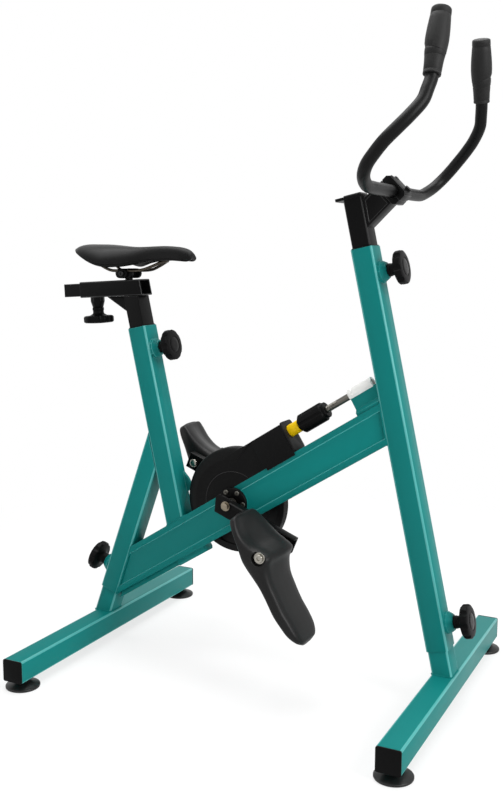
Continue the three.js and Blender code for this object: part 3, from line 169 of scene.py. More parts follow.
class BikeColours(bpy.types.PropertyGroup):
    coat: colour("Frame coat", "Powder coat of the frame and the foot bars", 0.0040, 0.168, 0.158)
    # Painted highlight: a lighter teal on the rounded corners stands in for the light that they catch
    coat_corner_highlight: colour("Frame coat on corners", "The coat where it is thin and polished on corners",
                        0.050, 0.310, 0.298)
    black_coat: colour("Black coat", "Powder coat of posts, brackets, cranks and handlebar",
                       0.0024, 0.0024, 0.0025)
    # Painted highlight: a lighter black on rounded corners and creases stands in for the light that they
    # catch
    black_corner_highlight: colour("Black on corners", "Black coat and plastic where corners are polished",
                         0.011, 0.011, 0.0113)
    black_plastic: colour("Black plastic", "Knobs, end caps and the wheel cover", 0.0026, 0.0026, 0.0027)
    charcoal: colour("Charcoal plastic", "Pedals and the cover's end plate", 0.0052, 0.0052, 0.0053)
    rubber: colour("Rubber", "Feet and hand grips", 0.0060, 0.0060, 0.0060)
    saddle: colour("Saddle skin", "Cover of the saddle", 0.0026, 0.0026, 0.0027)
    yellow: colour("Push tube", "Coloured tube between the adjuster and the cover", 0.82, 0.53, 0.002)
    white: colour("Adjuster sleeve", "Pale sleeve at the top of the rod", 0.78, 0.78, 0.76)
    steel: colour("Steel", "Rod, axle and nuts", 0.115, 0.110, 0.098)
    bright: colour("Bright steel", "Pins of the pedals", 0.33, 0.315, 0.28)
    bronzed: colour("Bronzed steel", "Bolts of the cranks", 0.24, 0.205, 0.155)
    dark: colour("Dark steel", "Screws of the clamps", 0.028, 0.028, 0.028)
    wire: colour("Wire steel", "The wires under the saddle", 0.055, 0.047, 0.037)


class StageSettings(bpy.types.PropertyGroup):
    floor: colour("Floor", "Colour of the floor", 0.93, 0.93, 0.93)
    floor_glow: bpy.props.FloatProperty(
        name="Floor glow", description="Share of the floor that shows as plain white",
        default=0.72, min=0, max=1, subtype="FACTOR")
    key_power: power("Key lamp", "Power of the large lamp in front and to the right", 100.0)
    fill_power: power("Fill lamp", "Power of the soft lamp behind and to the right", 12.0)
    top_power: power("Top lamp", "Power of the lamp overhead", 92.0)
    sky: bpy.props.FloatProperty(
        name="Sky", description="Strength of the even light from all round", default=0.40)


def sizes():
    return bpy.context.scene.bike_sizes


# Shader groups


def new_group(name, inputs, outputs):
    """An empty node group with its named sockets, and its two end nodes."""
    group = bpy.data.node_groups.new(name, "ShaderNodeTree")
    for label, kind, value in inputs:
        socket = group.interface.new_socket(name=label, in_out="INPUT", socket_type=kind)
        socket.default_value = value
    for label, kind in outputs:
        group.interface.new_socket(name=label, in_out="OUTPUT", socket_type=kind)
    return group, group.nodes.new("NodeGroupInput"), group.nodes.new("NodeGroupOutput")


def node(tree, kind, **values):
    """A node with its settings and the values of its named sockets."""
    made = tree.nodes.new(kind)
    for key, value in values.items():
        if hasattr(made, key):
            setattr(made, key, value)
        else:
            made.inputs[key.replace("_", " ")].default_value = value
    return made


def object_noise(tree, scale, detail, roughness=0.5):
    """Noise on the object's own coordinates; scale may be a socket."""
    place = tree.nodes.new("ShaderNodeTexCoord")
    noise = node(tree, "ShaderNodeTexNoise", Detail=detail, Roughness=roughness)
    tree.links.new(place.outputs["Object"], noise.inputs["Vector"])
    if isinstance(scale, (int, float)):
        noise.inputs["Scale"].default_value = scale
    else:
        tree.links.new(scale, noise.inputs["Scale"])
    return noise


def math_node(tree, operation, first, second, clamp=False):
    made = tree.nodes.new("ShaderNodeMath")
    made.operation, made.use_clamp = operation, clamp
    for index, value in enumerate((first, second)):
        if isinstance(value, (int, float)):
            made.inputs[index].default_value = value
        else:
            tree.links.new(value, made.inputs[index])
    return made.outputs[0]


def mottled_colour_group():
    """A colour that drifts a little over the surface, as a real coat or moulding does."""
    group = bpy.data.node_groups.get("Mottled colour")
    if group:
        return group
    group, start, end = new_group(
        "Mottled colour",
        [("Colour", "NodeSocketColor", (0.5, 0.5, 0.5, 1)), ("Scale", "NodeSocketFloat", 6.0),
         ("Amount", "NodeSocketFloat", 0.06), ("Dust", "NodeSocketFloat", 0.02)],
        [("Colour", "NodeSocketColor")])
    noise = object_noise(group, start.outputs["Scale"], 4, 0.55)
    centred = math_node(group, "SUBTRACT", noise.outputs["Fac"], 0.5)
    swing = math_node(group, "MULTIPLY", centred, start.outputs["Amount"])
    value = math_node(group, "ADD", math_node(group, "MULTIPLY", swing, 4.0), 1.0)
    shade = group.nodes.new("ShaderNodeHueSaturation")
    group.links.new(start.outputs["Colour"], shade.inputs["Color"])
    group.links.new(value, shade.inputs["Value"])
    specks = object_noise(group, 160.0, 3, 0.7)
    mask = math_node(group, "MULTIPLY", math_node(group, "SUBTRACT", specks.outputs["Fac"], 0.5, True),
                     start.outputs["Dust"])
    mix = group.nodes.new("ShaderNodeMix")
    mix.data_type = "RGBA"
    group.links.new(mask, mix.inputs["Factor"])
    group.links.new(shade.outputs["Color"], mix.inputs["A"])
    mix.inputs["B"].default_value = (0.6, 0.6, 0.58, 1)
    group.links.new(mix.outputs["Result"], end.inputs["Colour"])
    return group


def uneven_gloss_group():
    """Roughness that wanders round a middle value with soft smears and fine specks."""
    group = bpy.data.node_groups.get("Uneven gloss")
    if group:
        return group
    group, start, end = new_group(
        "Uneven gloss",
        [("Roughness", "NodeSocketFloat", 0.4), ("Spread", "NodeSocketFloat", 0.08),
         ("Scale", "NodeSocketFloat", 9.0)],
        [("Roughness", "NodeSocketFloat")])
    broad = object_noise(group, start.outputs["Scale"], 5, 0.6)
    fine = object_noise(group, 220.0, 2, 0.5)
    both = math_node(group, "ADD", math_node(group, "MULTIPLY", broad.outputs["Fac"], 0.75),
                     math_node(group, "MULTIPLY", fine.outputs["Fac"], 0.25))
    swing = math_node(group, "MULTIPLY", math_node(group, "SUBTRACT", both, 0.5),
                      math_node(group, "MULTIPLY", start.outputs["Spread"], 2.0))
    group.links.new(math_node(group, "ADD", swing, start.outputs["Roughness"], True),
                    end.inputs["Roughness"])
    return group


def grain_group():
    """Heights of a fine surface: soft orange peel, tight moulded grain and pebbled skin."""
    group = bpy.data.node_groups.get("Surface grain")
    if group:
        return group
    group, start, end = new_group(
        "Surface grain",
        [("Peel Scale", "NodeSocketFloat", 300.0), ("Grain Scale", "NodeSocketFloat", 900.0),
         ("Pebble Scale", "NodeSocketFloat", 600.0)],
        [("Peel", "NodeSocketFloat"), ("Grain", "NodeSocketFloat"), ("Pebble", "NodeSocketFloat")])
    peel = object_noise(group, start.outputs["Peel Scale"], 1, 0.4)
    grain = object_noise(group, start.outputs["Grain Scale"], 4, 0.7)
    group.links.new(peel.outputs["Fac"], end.inputs["Peel"])
    group.links.new(grain.outputs["Fac"], end.inputs["Grain"])
    place = group.nodes.new("ShaderNodeTexCoord")
    cells = group.nodes.new("ShaderNodeTexVoronoi")
    cells.feature = "SMOOTH_F1"
    group.links.new(place.outputs["Object"], cells.inputs["Vector"])
    group.links.new(start.outputs["Pebble Scale"], cells.inputs["Scale"])
    group.links.new(math_node(group, "SUBTRACT", 1.0, cells.outputs["Distance"]), end.inputs["Pebble"])
    return group


def use_group(tree, group, **values):
    made = tree.nodes.new("ShaderNodeGroup")
    made.node_tree = group
    for key, value in values.items():
        made.inputs[key].default_value = value
    return made


# Finishes

# Label, slot of the record and colour; roughness, its spread, mottle and dust; relief, its scale and depth;
# specular level, metallic and sheen. A relief scale of 0 follows the grain size.
FINISHES = {
    "teal_coat": ("Teal powder coat", "teal_steel", "coat",
                  0.40, 0.07, 0.035, 0.004, "Peel", 420, 0.00003, 0.08, 0, 0),
    # Painted highlight on the teal's rounded corners: a lighter colour, with a glossier coat
    "coat_corner_highlight": ("Teal coat on corners", "teal_steel", "coat_corner_highlight",
                    0.30, 0.06, 0.05, 0.004, "Peel", 420, 0.00001, 0.45, 0, 0),
    "black_coat": ("Black powder coat", "black_steel", "black_coat",
                   0.38, 0.10, 0.10, 0.003, "Peel", 520, 0.00003, 0.07, 0, 0),
    # Painted highlight on black rounded corners and creases: a lighter colour, with a glossier coat
    "black_corner_highlight": ("Black on corners", "black_plastic", "black_corner_highlight",
                     0.30, 0.06, 0.08, 0.004, "Peel", 520, 0.00001, 0.30, 0, 0),
    "bar_coat": ("Handlebar coat", "black_steel", "black_coat",
                 0.40, 0.05, 0.04, 0.002, "Peel", 520, 0.000004, 0.13, 0, 0),
    "wheel_iron": ("Wheel coat", "black_steel", "black_coat",
                   0.42, 0.12, 0.12, 0.008, "Peel", 380, 0.00004, 0.12, 0, 0),
    "black_plastic": ("Moulded black plastic", "black_plastic", "black_plastic",
                      0.42, 0.10, 0.08, 0.005, "Grain", 1100, 0.00004, 0.06, 0, 0),
    "cap_plastic": ("Knob cap plastic", "black_plastic", "black_plastic",
                    0.28, 0.06, 0.06, 0.006, "Grain", 1600, 0.00001, 0.09, 0, 0),
    "cover_plastic": ("Cover plastic", "black_plastic", "black_plastic",
                      0.50, 0.12, 0.10, 0.015, "Grain", 950, 0.00004, 0.08, 0, 0),
    "charcoal_plastic": ("Moulded charcoal plastic", "charcoal_plastic", "charcoal",
                         0.52, 0.10, 0.10, 0.015, "Grain", 900, 0.00006, 0.14, 0, 0),
    "pedal_plastic": ("Pedal plastic", "charcoal_plastic", "charcoal",
                      0.42, 0.08, 0.10, 0.005, "Grain", 1000, 0.00004, 0.20, 0, 0),
    "foot_rubber": ("Foot rubber", "rubber", "rubber",
                    0.42, 0.10, 0.10, 0.02, "Grain", 700, 0.00005, 0.3, 0, 0),
    "grip_rubber": ("Grip rubber", "rubber", "rubber",
                    0.60, 0.08, 0.08, 0.02, "Grain", 1300, 0.00008, 0.22, 0, 0.03),
    "saddle_skin": ("Saddle skin", "rubber", "saddle",
                    0.38, 0.08, 0.08, 0.004, "Pebble", 0, 0.00008, 0.11, 0, 0),
    "yellow_plastic": ("Yellow plastic", "yellow_plastic", "yellow",
                       0.38, 0.08, 0.03, 0.01, "Grain", 800, 0.00002, 0.12, 0, 0),
    "white_plastic": ("White plastic", "white_plastic", "white",
                      0.32, 0.06, 0.015, 0, "Grain", 800, 0.00002, 0.25, 0, 0),
    "dull_steel": ("Dull steel", "steel", "steel",
                   0.38, 0.12, 0.10, 0, "Grain", 1500, 0.00002, 0.5, 1, 0),
    "bright_steel": ("Bright steel", "steel", "bright",
                     0.24, 0.10, 0.06, 0, "Grain", 1500, 0.00001, 0.5, 1, 0),
    "bronzed_steel": ("Bronzed steel", "steel", "bronzed",
                      0.30, 0.10, 0.12, 0, "Grain", 1500, 0.00001, 0.5, 1, 0),
    "dark_steel": ("Dark steel", "steel", "dark",
                   0.34, 0.10, 0.10, 0, "Grain", 1500, 0.00002, 0.5, 1, 0),
    "wire_steel": ("Wire steel", "steel", "wire",
                   0.30, 0.10, 0.08, 0, "Grain", 1500, 0.00001, 0.5, 1, 0),
}


def finish(key):
    """The material of a row in FINISHES: one Principled BSDF fed by the shared groups."""
    (label, _, shade, roughness, spread, mottle, dust, relief, scale, depth,
     specular, metallic, sheen) = FINISHES[key]
    material = bpy.data.materials.get(label)
    if material:
        return material
    material = bpy.data.materials.new(label)
    material.use_nodes = True
    tree = material.node_tree
    shader = tree.nodes["Principled BSDF"]
    tint = use_group(tree, mottled_colour_group(), Amount=mottle, Dust=dust,
                     Colour=tuple(getattr(bpy.context.scene.bike_colours, shade)))
    gloss = use_group(tree, uneven_gloss_group(), Roughness=roughness, Spread=spread)
    grain = use_group(tree, grain_group())
    grain.inputs[relief + " Scale"].default_value = scale or 1.0 / sizes().grain_size
    bump = node(tree, "ShaderNodeBump", Strength=0.6, Distance=depth)
    tree.links.new(grain.outputs[relief], bump.inputs["Height"])
    tree.links.new(tint.outputs["Colour"], shader.inputs["Base Color"])
    tree.links.new(gloss.outputs["Roughness"], shader.inputs["Roughness"])
    tree.links.new(bump.outputs["Normal"], shader.inputs["Normal"])
    shader.inputs["Metallic"].default_value = metallic
    shader.inputs["Specular IOR Level"].default_value = specular
    shader.inputs["Sheen Weight"].default_value = sheen
    return material


# Modelling helpers


def choose(piece=None):
    """Leaves edit mode and selects one piece or nothing."""
    if bpy.context.object and bpy.context.object.mode != "OBJECT":
        bpy.ops.object.mode_set(mode="OBJECT")
    bpy.ops.object.select_all(action="DESELECT")
    if piece:
        bpy.context.view_layer.objects.active = piece
        piece.select_set(True)


def edit(piece, action="SELECT", mode="VERT"):
    """Starts to edit a piece with all of it selected, or none."""
    choose(piece)
    bpy.ops.object.mode_set(mode="EDIT")
    bpy.ops.mesh.select_mode(type=mode)
    if action:
        bpy.ops.mesh.select_all(action=action)


def leave_edit():
    bpy.ops.object.mode_set(mode="OBJECT")


def pick(piece, kind, test, mode):
    """Starts to edit a piece with the vertices or polygons selected that pass a test."""
    edit(piece, "DESELECT", mode)
    leave_edit()
    for part in getattr(piece.data, kind):
        part.select = test(part)
    edit(piece, None, mode)


def apply_modifier(piece, kind, **values):
    choose(piece)
    modifier = piece.modifiers.new(kind.title(), kind)
    for key, value in values.items():
        setattr(modifier, key, value)
    bpy.ops.object.modifier_apply(modifier=modifier.name)


def settle(piece, place=None):
    """Puts the piece's place into its mesh, so that its object sits at the origin."""
    choose(piece)
    if place is not None:
        piece.matrix_world = place @ piece.matrix_world
    bpy.context.view_layer.update()
    bpy.ops.object.transform_apply(location=True, rotation=True, scale=True)
    return piece


def smooth(piece, angle=35.0):
    choose(piece)
    bpy.ops.object.shade_smooth_by_angle(angle=math.radians(angle), keep_sharp_edges=False)
    return piece


def soften(piece, width, segments=2, angle=30.0, corner=-1):
    """Rounds the sharp edges by a bevel that is applied; the new faces may take another material."""
    apply_modifier(piece, "BEVEL", width=width, segments=segments, limit_method="ANGLE", material=corner,
                   angle_limit=math.radians(angle), use_clamp_overlap=True, miter_outer="MITER_ARC")
    return piece


def discard(*pieces):
    for piece in pieces:
        bpy.data.objects.remove(piece, do_unlink=True)


def cut(piece, tool, operation="DIFFERENCE"):
    """Cuts or joins with another body, which is then gone."""
    apply_modifier(piece, "BOOLEAN", operation=operation, object=tool, solver="EXACT")
    discard(tool)


def name_piece(piece, name):
    piece.name = piece.data.name = name
    return piece


def turned(name, profile, sides=64, smoothing=None, place=None):
    """A body turned on the Z axis: a filled circle, extruded ring by ring up its profile."""
    radius, height = profile[0]
    choose()
    bpy.ops.mesh.primitive_circle_add(vertices=sides, radius=radius, fill_type="NGON",
                                      location=(0, 0, height))
    piece = name_piece(bpy.context.object, name)
    settle(piece)
    edit(piece, mode="FACE")
    for next_radius, next_height in profile[1:]:
        bpy.ops.mesh.extrude_region_move(
            TRANSFORM_OT_translate={"value": (0, 0, next_height - height)})
        share = next_radius / radius
        bpy.ops.transform.resize(value=(share, share, 1), center_override=(0, 0, next_height))
        radius, height = next_radius, next_height
    bpy.ops.mesh.select_all(action="SELECT")
    bpy.ops.mesh.normals_make_consistent(inside=False)
    leave_edit()
    if smoothing:
        smooth(piece, smoothing)
    return settle(piece, place) if place else piece


def drill(piece, radius, low, high, sides=40, place=None):
    """Cuts a round hole along Z."""
    cut(piece, turned("drill", [(radius, low), (radius, high)], sides, place=place))


def thread(even, odd, low, pitch, count):
    """The profile of a screw thread from a height upwards."""
    return [(odd if i % 2 else even, low + pitch * i) for i in range(count)]


def box(name, low, high):
    choose()
    middle = [(a + b) / 2 for a, b in zip(low, high)]
    bpy.ops.mesh.primitive_cube_add(size=1, location=middle)
    piece = name_piece(bpy.context.object, name)
    piece.scale = [b - a for a, b in zip(low, high)]
    return settle(piece)


def curve_through(points, steps):
    """Points of a smooth curve that passes through each given point."""
    points = [Vector(point) for point in points]
    ends = [2 * points[0] - points[1], *points, 2 * points[-1] - points[-2]]
    made = []
    for a, b, c, d in zip(ends, ends[1:], ends[2:], ends[3:]):
        before, between, after = [max((q - p).length, 1e-9) ** 0.5 for p, q in ((a, b), (b, c), (c, d))]
        start = ((b - a) / before - (c - a) / (before + between) + (c - b) / between) * between
        end = ((c - b) / between - (d - b) / (between + after) + (d - c) / after) * between
        for step in range(steps):
            t = step / steps
            made.append(b + start * t + (3 * (c - b) - 2 * start - end) * t ** 2
                        + (2 * (b - c) + start + end) * t ** 3)
    made.append(points[-1])
    return made


def ring_curve(points, steps):
    """A closed smooth curve through points."""
    made = curve_through([*points[-2:], *points, *points[:3]], steps)
    return made[2 * steps:(2 + len(points)) * steps]


def drawn_tube(name, points, radius, sides=24, swell=None):
    """A round tube drawn along points, as a curve with a bevel that is made a mesh."""
    choose()
    bpy.ops.curve.primitive_nurbs_path_add()
    piece = bpy.context.object
    data = piece.data
    data.splines.clear()
    spline = data.splines.new("POLY")
    spline.points.add(len(points) - 1)
    for index, (point, spot) in enumerate(zip(spline.points, points)):
        point.co = (*spot, 1)
        point.radius = swell(index) if swell else 1.0
    data.bevel_depth = radius
    data.bevel_resolution = sides // 4
    data.use_fill_caps = True
    choose(piece)
    bpy.ops.object.convert(target="MESH")
    return settle(smooth(name_piece(bpy.context.object, name), 50))


def copy_of(node_name):
    """A merged copy of a CAD node's mesh, to be finished as a piece of its own."""
    piece = twin(frame["nodes"][node_name], f"{node_name}_skin")
    edit(piece)
    bpy.ops.mesh.remove_doubles(threshold=0.00002)
    bpy.ops.mesh.dissolve_limited(angle_limit=math.radians(0.6))
    leave_edit()
    return piece


def twin(piece, name, place=None):
    """A copy with its own mesh, moved to a place."""
    made = bpy.data.objects.new(name, piece.data.copy())
    bpy.context.collection.objects.link(made)
    made.data.name = name
    return settle(made, place) if place else made


def joined(name, pieces):
    """Several meshes as one object."""
    choose()
    for piece in pieces:
        piece.select_set(True)
    bpy.context.view_layer.objects.active = pieces[0]
    bpy.ops.object.join()
    return name_piece(bpy.context.object, name)


def skinned(name, rings):
    """A closed body through cross-sections: a grid whose points are moved to the rings, then closed."""
    columns = len(rings[0]) + 1
    choose()
    bpy.ops.mesh.primitive_grid_add(x_subdivisions=columns - 1, y_subdivisions=len(rings) - 1, size=1)
    piece = name_piece(bpy.context.object, name)
    for index, vertex in enumerate(piece.data.vertices):
        vertex.co = rings[index // columns][index % columns % (columns - 1)]
    edit(piece)
    bpy.ops.mesh.remove_doubles(threshold=0.000001)
    bpy.ops.mesh.select_all(action="DESELECT")
    bpy.ops.mesh.select_non_manifold()
    bpy.ops.mesh.fill(use_beauty=True)
    bpy.ops.mesh.select_all(action="SELECT")
    bpy.ops.mesh.normals_make_consistent(inside=False)
    leave_edit()
    return piece


def paint(piece, key):
    """Gives the piece a finish, unless it has that finish already, with another for its corners."""
    materials = piece.data.materials
    if not materials or materials[0] != finish(key):
        materials.clear()
        materials.append(finish(key))
    return piece


def hand_over(piece, key, *nodes, body=None):
    """Paints the piece, rides it on its body and hides the CAD nodes that it stands for."""
    paint(piece, key)
    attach(piece, body or body_of_node[nodes[0]])
    if nodes:
        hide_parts(*nodes)
    return piece


def highlighted(piece, key, corner, width, segments=2, angle=30.0, smoothing=35.0):
    """Rounds the edges and gives the rounded corners a finish of their own: a lighter colour painted as a
    highlight.
    """
    paint(piece, key).data.materials.append(finish(corner))
    return smooth(soften(piece, width, segments, angle, 1), smoothing)


def mark_corners(piece):
    """Gives the narrow faces along a tube's rounded corners the second finish, a painted highlight."""
    for face in piece.data.polygons:
        spots = [piece.data.vertices[i].co for i in face.vertices]
        longest = max((a - b).length for a, b in zip(spots, spots[1:] + spots[:1]))
        if longest > LONG_FACE and face.area / longest < sizes().corner_width:
            face.material_index = 1


def dressed(node_name, key, width=None, segments=2, corner=None):
    """The CAD node's own shape with rounded edges and a better finish."""
    piece = paint(copy_of(node_name), key)
    width = width or sizes().edge_round
    # The corner finish paints a highlight along the rounded corners
    if corner:
        mark_corners(highlighted(piece, key, corner, width, segments))
    else:
        smooth(soften(piece, width, segments))
    hand_over(piece, key, node_name)


def stretch(piece, face, front, rear):
    """Moves a face's corners, with one step for those in front of its middle and another for the rest."""
    middle = face.center.x
    for index in face.vertices:
        vertex = piece.data.vertices[index]
        vertex.co += front if vertex.co.x > middle else rear


def hex_bar(name, radius, low, high):
    choose()
    bpy.ops.mesh.primitive_cylinder_add(vertices=6, radius=radius, depth=high - low,
                                        location=(0, 0, (low + high) / 2))
    return settle(name_piece(bpy.context.object, name))


def socket_head(name, radius, height):
    """The head of a socket screw from Z = 0 upwards."""
    head = turned(name, [(radius, 0), (radius, height * 0.82), (radius * 0.94, height * 0.95),
                         (radius * 0.84, height)], 40)
    cut(head, hex_bar("socket", radius * 0.48, height * 0.45, height * 1.5))
    return smooth(soften(head, radius * 0.03, 1, 40), 30)


def domed_bolt(name, radius, height):
    """A washer and a domed hexagon head from Z = 0 upwards."""
    washer = turned("washer", [(radius * 0.97, 0), (radius, height * 0.05), (radius, height * 0.22),
                               (radius * 0.96, height * 0.26)], 48)
    head = soften(hex_bar("head", radius * 0.82, height * 0.2, height * 0.9), radius * 0.07, 2, 40)
    dome = turned("dome", [(radius * 0.6, height * 0.85), (radius * 0.5, height * 0.96),
                           (radius * 0.3, height)], 36)
    return smooth(joined(name, [washer, head, dome]), 30)


def ring_of_screws(head, side, radius, out, turn):
    """Six copies of a screw head round the axle, on the right or the left."""
    return [twin(head, "ring_screw", rail_place @ shifted(x, side * out, z)
                 @ Matrix.Rotation(-side * math.pi / 2, 4, "X")) for x, z in around(6, radius, turn)]


# The pieces, one operator for each group


def frame_shapes():
    """Tubes and foot bars with their ends eased, and the strip under the rail's lower end."""
    for name in ("main_rail", "seat_tube", "rear_leg", "front_mast", "adjuster_bracket",
                 "rear_foot_bar", "front_foot_bar"):
        # Their rounded corners take a painted highlight
        dressed(name, "teal_coat", sizes().edge_round * 1.5, corner="coat_corner_highlight")
    for name in ("mast_bush", "seat_bush"):
        dressed(name, "black_plastic", 0.0004)
    strip = box("rail_shoe", (-0.30, -0.0165, -0.0660), (-0.215, 0.0165, -0.0530))
    settle(strip, rail_place)
    # It ends short of the leg, where the foot bar passes at the top of its slide
    end = behind("rear_base_knob_turn", TUBE_FAR_FACE + 0.0055)
    for vertex in strip.data.vertices:
        if (vertex.co - axle).dot(rail_forward) < -0.25:
            vertex.co = meet(vertex.co, rail_forward, end, leg_back)
    hand_over(smooth(soften(strip, 0.0025)), "teal_coat", body="frame")


def tube_outline(middle, forward, half_depth, half_width, along, plane_point, normal):
    """A tube's four corners, slid along it onto a plane."""
    corners = [middle + forward * (half_depth * a) + LEFT * (half_width * b)
               for a, b in ((-1, -1), (1, -1), (1, 1), (-1, 1))]
    return [meet(corner, along, plane_point, normal) for corner in corners]


def bead(name, corners, ease=0.004, radius=0.0017, body="frame"):
    """A weld bead round a loop with eased corners, that swells and narrows a little along its run."""
    run = []
    for i, corner in enumerate(corners):
        before = (corners[i - 1] - corner).normalized() * ease
        after = (corners[(i + 1) % len(corners)] - corner).normalized() * ease
        run += [corner + before, corner + before * 0.3 + after * 0.3, corner + after]
    run.append(run[0])
    points = []
    for start, end in zip(run, run[1:]):
        count = max(2, round((end - start).length / BEAD_STEP))
        points += [start.lerp(end, i / count) for i in range(count)]
    points.append(run[-1])
    piece = drawn_tube(name, points, radius, 8, swell=lambda i: 1 + 0.20 * math.sin(i * 1.9)
                       + 0.10 * math.sin(i * 0.73))
    hand_over(piece, "teal_coat", body=body)


def weld_beads():
    """Beads where the tubes and stubs are joined."""
    bead("weld_seat_tube", tube_outline(
        behind("seat_height_knob_turn", TUBE_MIDDLE), seat_forward, 0.0243, 0.0272,
        seat_up, axle + rail_up * 0.0303, rail_up))
    for name, base, up, ahead in (("weld_mast_stub", "front_base", mast_up, mast_forward),
                                  ("weld_leg_stub", "rear_base", leg_up, -leg_back)):
        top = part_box(base.replace("base", "cap_right"))[1][2] + 0.0003
        bead(name, tube_outline(behind(f"{base}_knob_turn", TUBE_MIDDLE), ahead, 0.0218, 0.0250,
                                up, UP * top, UP), radius=0.0020, body=base)
    for name, knob in (("weld_rail_mast", "mast_knob_turn"), ("weld_rail_leg", "rear_base_knob_turn")):
        corners = []
        # Along the rail's top from right to left, and back along its shoe's underside
        for height, side in ((0.0302, 1), (-0.0542, -1)):
            start = meet(axle + rail_up * height, rail_forward, behind(knob, TUBE_FAR_FACE),
                         joint_axis(knob))
            corners += [start - LEFT * (0.0262 * side), start + LEFT * (0.0262 * side)]
        bead(name, corners, 0.003, 0.0018)


def feet_and_caps():
    """End caps of the foot bars and the levelling feet with their lock nuts."""
    pad = turned("foot_pattern", [
        (0.0345, 0.0), (0.0372, 0.0008), (0.0380, 0.0022), (0.0380, 0.0048), (0.0372, 0.0060),
        (0.0335, 0.0070), (0.0325, 0.0076), (0.0240, 0.0096), (0.0180, 0.0128), (0.0140, 0.0136),
        (0.0132, 0.0142), (0.0130, 0.0150)], 72, 24)
    nut = soften(hex_bar("foot_nut", 0.0115, 0.0153, 0.0214), 0.0006, 2, 40)
    stud = turned("foot_stud", [(0.0058, 0.0140)] + thread(0.0054, 0.0060, 0.0145, 0.0007, 40), 24)
    nut = smooth(joined("foot_nut_pattern", [nut, stud]), 30)
    for base in ("rear", "front"):
        for _, side in SIDES:
            name = f"{base}_foot_{side}"
            spot = joint_point(f"{name}_turn")
            place = shifted(spot.x, spot.y)
            hand_over(twin(pad, f"{name}_pad", place), "foot_rubber", name)
            hand_over(twin(nut, f"{name}_nut", place), "dull_steel", name)
            dressed(f"{base}_cap_{side}", "black_plastic", 0.0012, 3)
    discard(pad, nut)


def clamp_knobs():
    """Five lobed clamp knobs with a plain round cap, each on its screw."""
    radius = sizes().knob_radius
    head = turned("knob_pattern", [
        (0.0128, -0.0030), (0.0138, -0.0021), (0.0138, 0.0032), (0.0130, 0.0042), (0.0130, 0.0098),
        (0.0142, 0.0120), (0.0205, 0.0158), (radius * 0.86, 0.0166), (radius * 0.95, 0.0178),
        (radius, 0.0205), (radius, 0.0298), (radius * 0.97, 0.0322), (radius * 0.89, 0.0337),
        (radius * 0.56, 0.0346), (radius * 0.545, 0.0338), (radius * 0.50, 0.0338)], 96)
    for x, y in around(8, radius * 1.14):
        drill(head, 0.0092, 0.010, 0.045, 28, shifted(x, y))
    smooth(soften(head, 0.0009, 3, 38), 32)
    cap = turned("knob_cap_pattern", [
        (radius * 0.485, 0.0334), (radius * 0.485, 0.0343), (radius * 0.45, 0.0349),
        (radius * 0.24, 0.0351)], 64, 30)
    screw = turned("knob_screw_pattern",
                   [(0.0044, -0.0205)] + thread(0.0045, 0.0050, -0.0200, 0.0006, 34), 24, 30)
    for name, start in (("mast_knob", 0.0205), ("front_base_knob", 0.0205), ("rear_base_knob", 0.0195),
                        ("seat_height_knob", 0.0205), ("saddle_slide_knob", 0.0275)):
        outwards = joint_axis(f"{name}_turn")
        place = facing(joint_point(f"{name}_turn") + outwards * start, outwards)
        hand_over(twin(head, f"{name}_grip", place), "black_plastic", name)
        hand_over(twin(cap, f"{name}_cap", place), "cap_plastic", name)
        hand_over(twin(screw, f"{name}_screw", place), "dull_steel", name)
    discard(head, cap, screw)


# Across, ahead and up, as shares of the bar's half width, reach and rise
BAR_SHARES = ((0.30, 0, 0), (0.56, 0.01, 0), (0.70, 0.015, 0.006), (0.83, 0.054, 0.035),
              (0.919, 0.115, 0.07), (0.976, 0.2, 0.115), (1, 0.33, 0.176), (1, 0.46, 0.237),
              (0.967, 0.63, 0.311), (0.919, 0.777, 0.381), (0.846, 0.908, 0.465), (0.800, 0.942, 0.530))
GRIP_FOOT, GRIP_TIP = (0.748, 0.968, 0.612), (0.597, 1, 1)
# Along a grip and out from its middle, as shares of its length and radius
GRIP_SHARES = (
    (0.0, 0.735), (0.006, 0.765), (0.040, 0.765), (0.046, 0.745), (0.050, 0.745), (0.056, 0.765),
    (0.16, 0.79), (0.25, 0.835), (0.254, 0.815), (0.262, 0.815), (0.268, 0.850), (0.33, 0.895),
    (0.345, 0.905), (0.350, 0.888), (0.358, 0.888), (0.364, 0.925), (0.45, 0.980), (0.52, 1.0),
    (0.60, 0.992), (0.70, 0.962), (0.80, 0.912), (0.875, 0.872), (0.880, 0.852), (0.888, 0.852),
    (0.893, 0.872), (0.955, 0.862), (0.972, 0.845), (0.984, 0.790), (0.994, 0.66), (1.0, 0.45))


def bar_point(share, side):
    across, ahead, high = share
    return bar_place @ Vector((ahead * sizes().bar_reach, side * across * sizes().bar_half_width,
                               high * sizes().bar_rise))


def handlebar():
    """The bent bar, drawn as one round tube, and the two hand grips with their seams."""
    run = sizes().grip_length
    runs, places = [], []
    for side, _ in SIDES:
        start = bar_point(GRIP_FOOT, side)
        along = (bar_point(GRIP_TIP, side) - start).normalized()
        places.append(facing(start, along))
        runs.append([bar_point(share, side) for share in BAR_SHARES]
                    + [start + along * run * share for share in (-0.05, 0, 0.5, 0.95)])
    path = curve_through([*reversed(runs[0]), bar_place.translation, *runs[1]], 14)
    hand_over(drawn_tube("bent_bar", path, sizes().bar_radius, 48), "bar_coat", "handlebar")
    grip = turned("grip_pattern", [(sizes().grip_radius * r, run * t) for t, r in GRIP_SHARES], 72)
    # The seam in the middle runs aslant
    low, high = run * 0.344, run * 0.366
    pick(grip, "vertices", lambda vertex: low <= vertex.co.z <= high, "VERT")
    bpy.ops.transform.rotate(value=math.radians(14), orient_axis="Y",
                             center_override=(0, 0, (low + high) / 2))
    leave_edit()
    for (_, side), place in zip(SIDES, places):
        hand_over(smooth(twin(grip, f"grip_{side}_rubber", place), 40), "grip_rubber", f"grip_{side}")
    discard(grip)


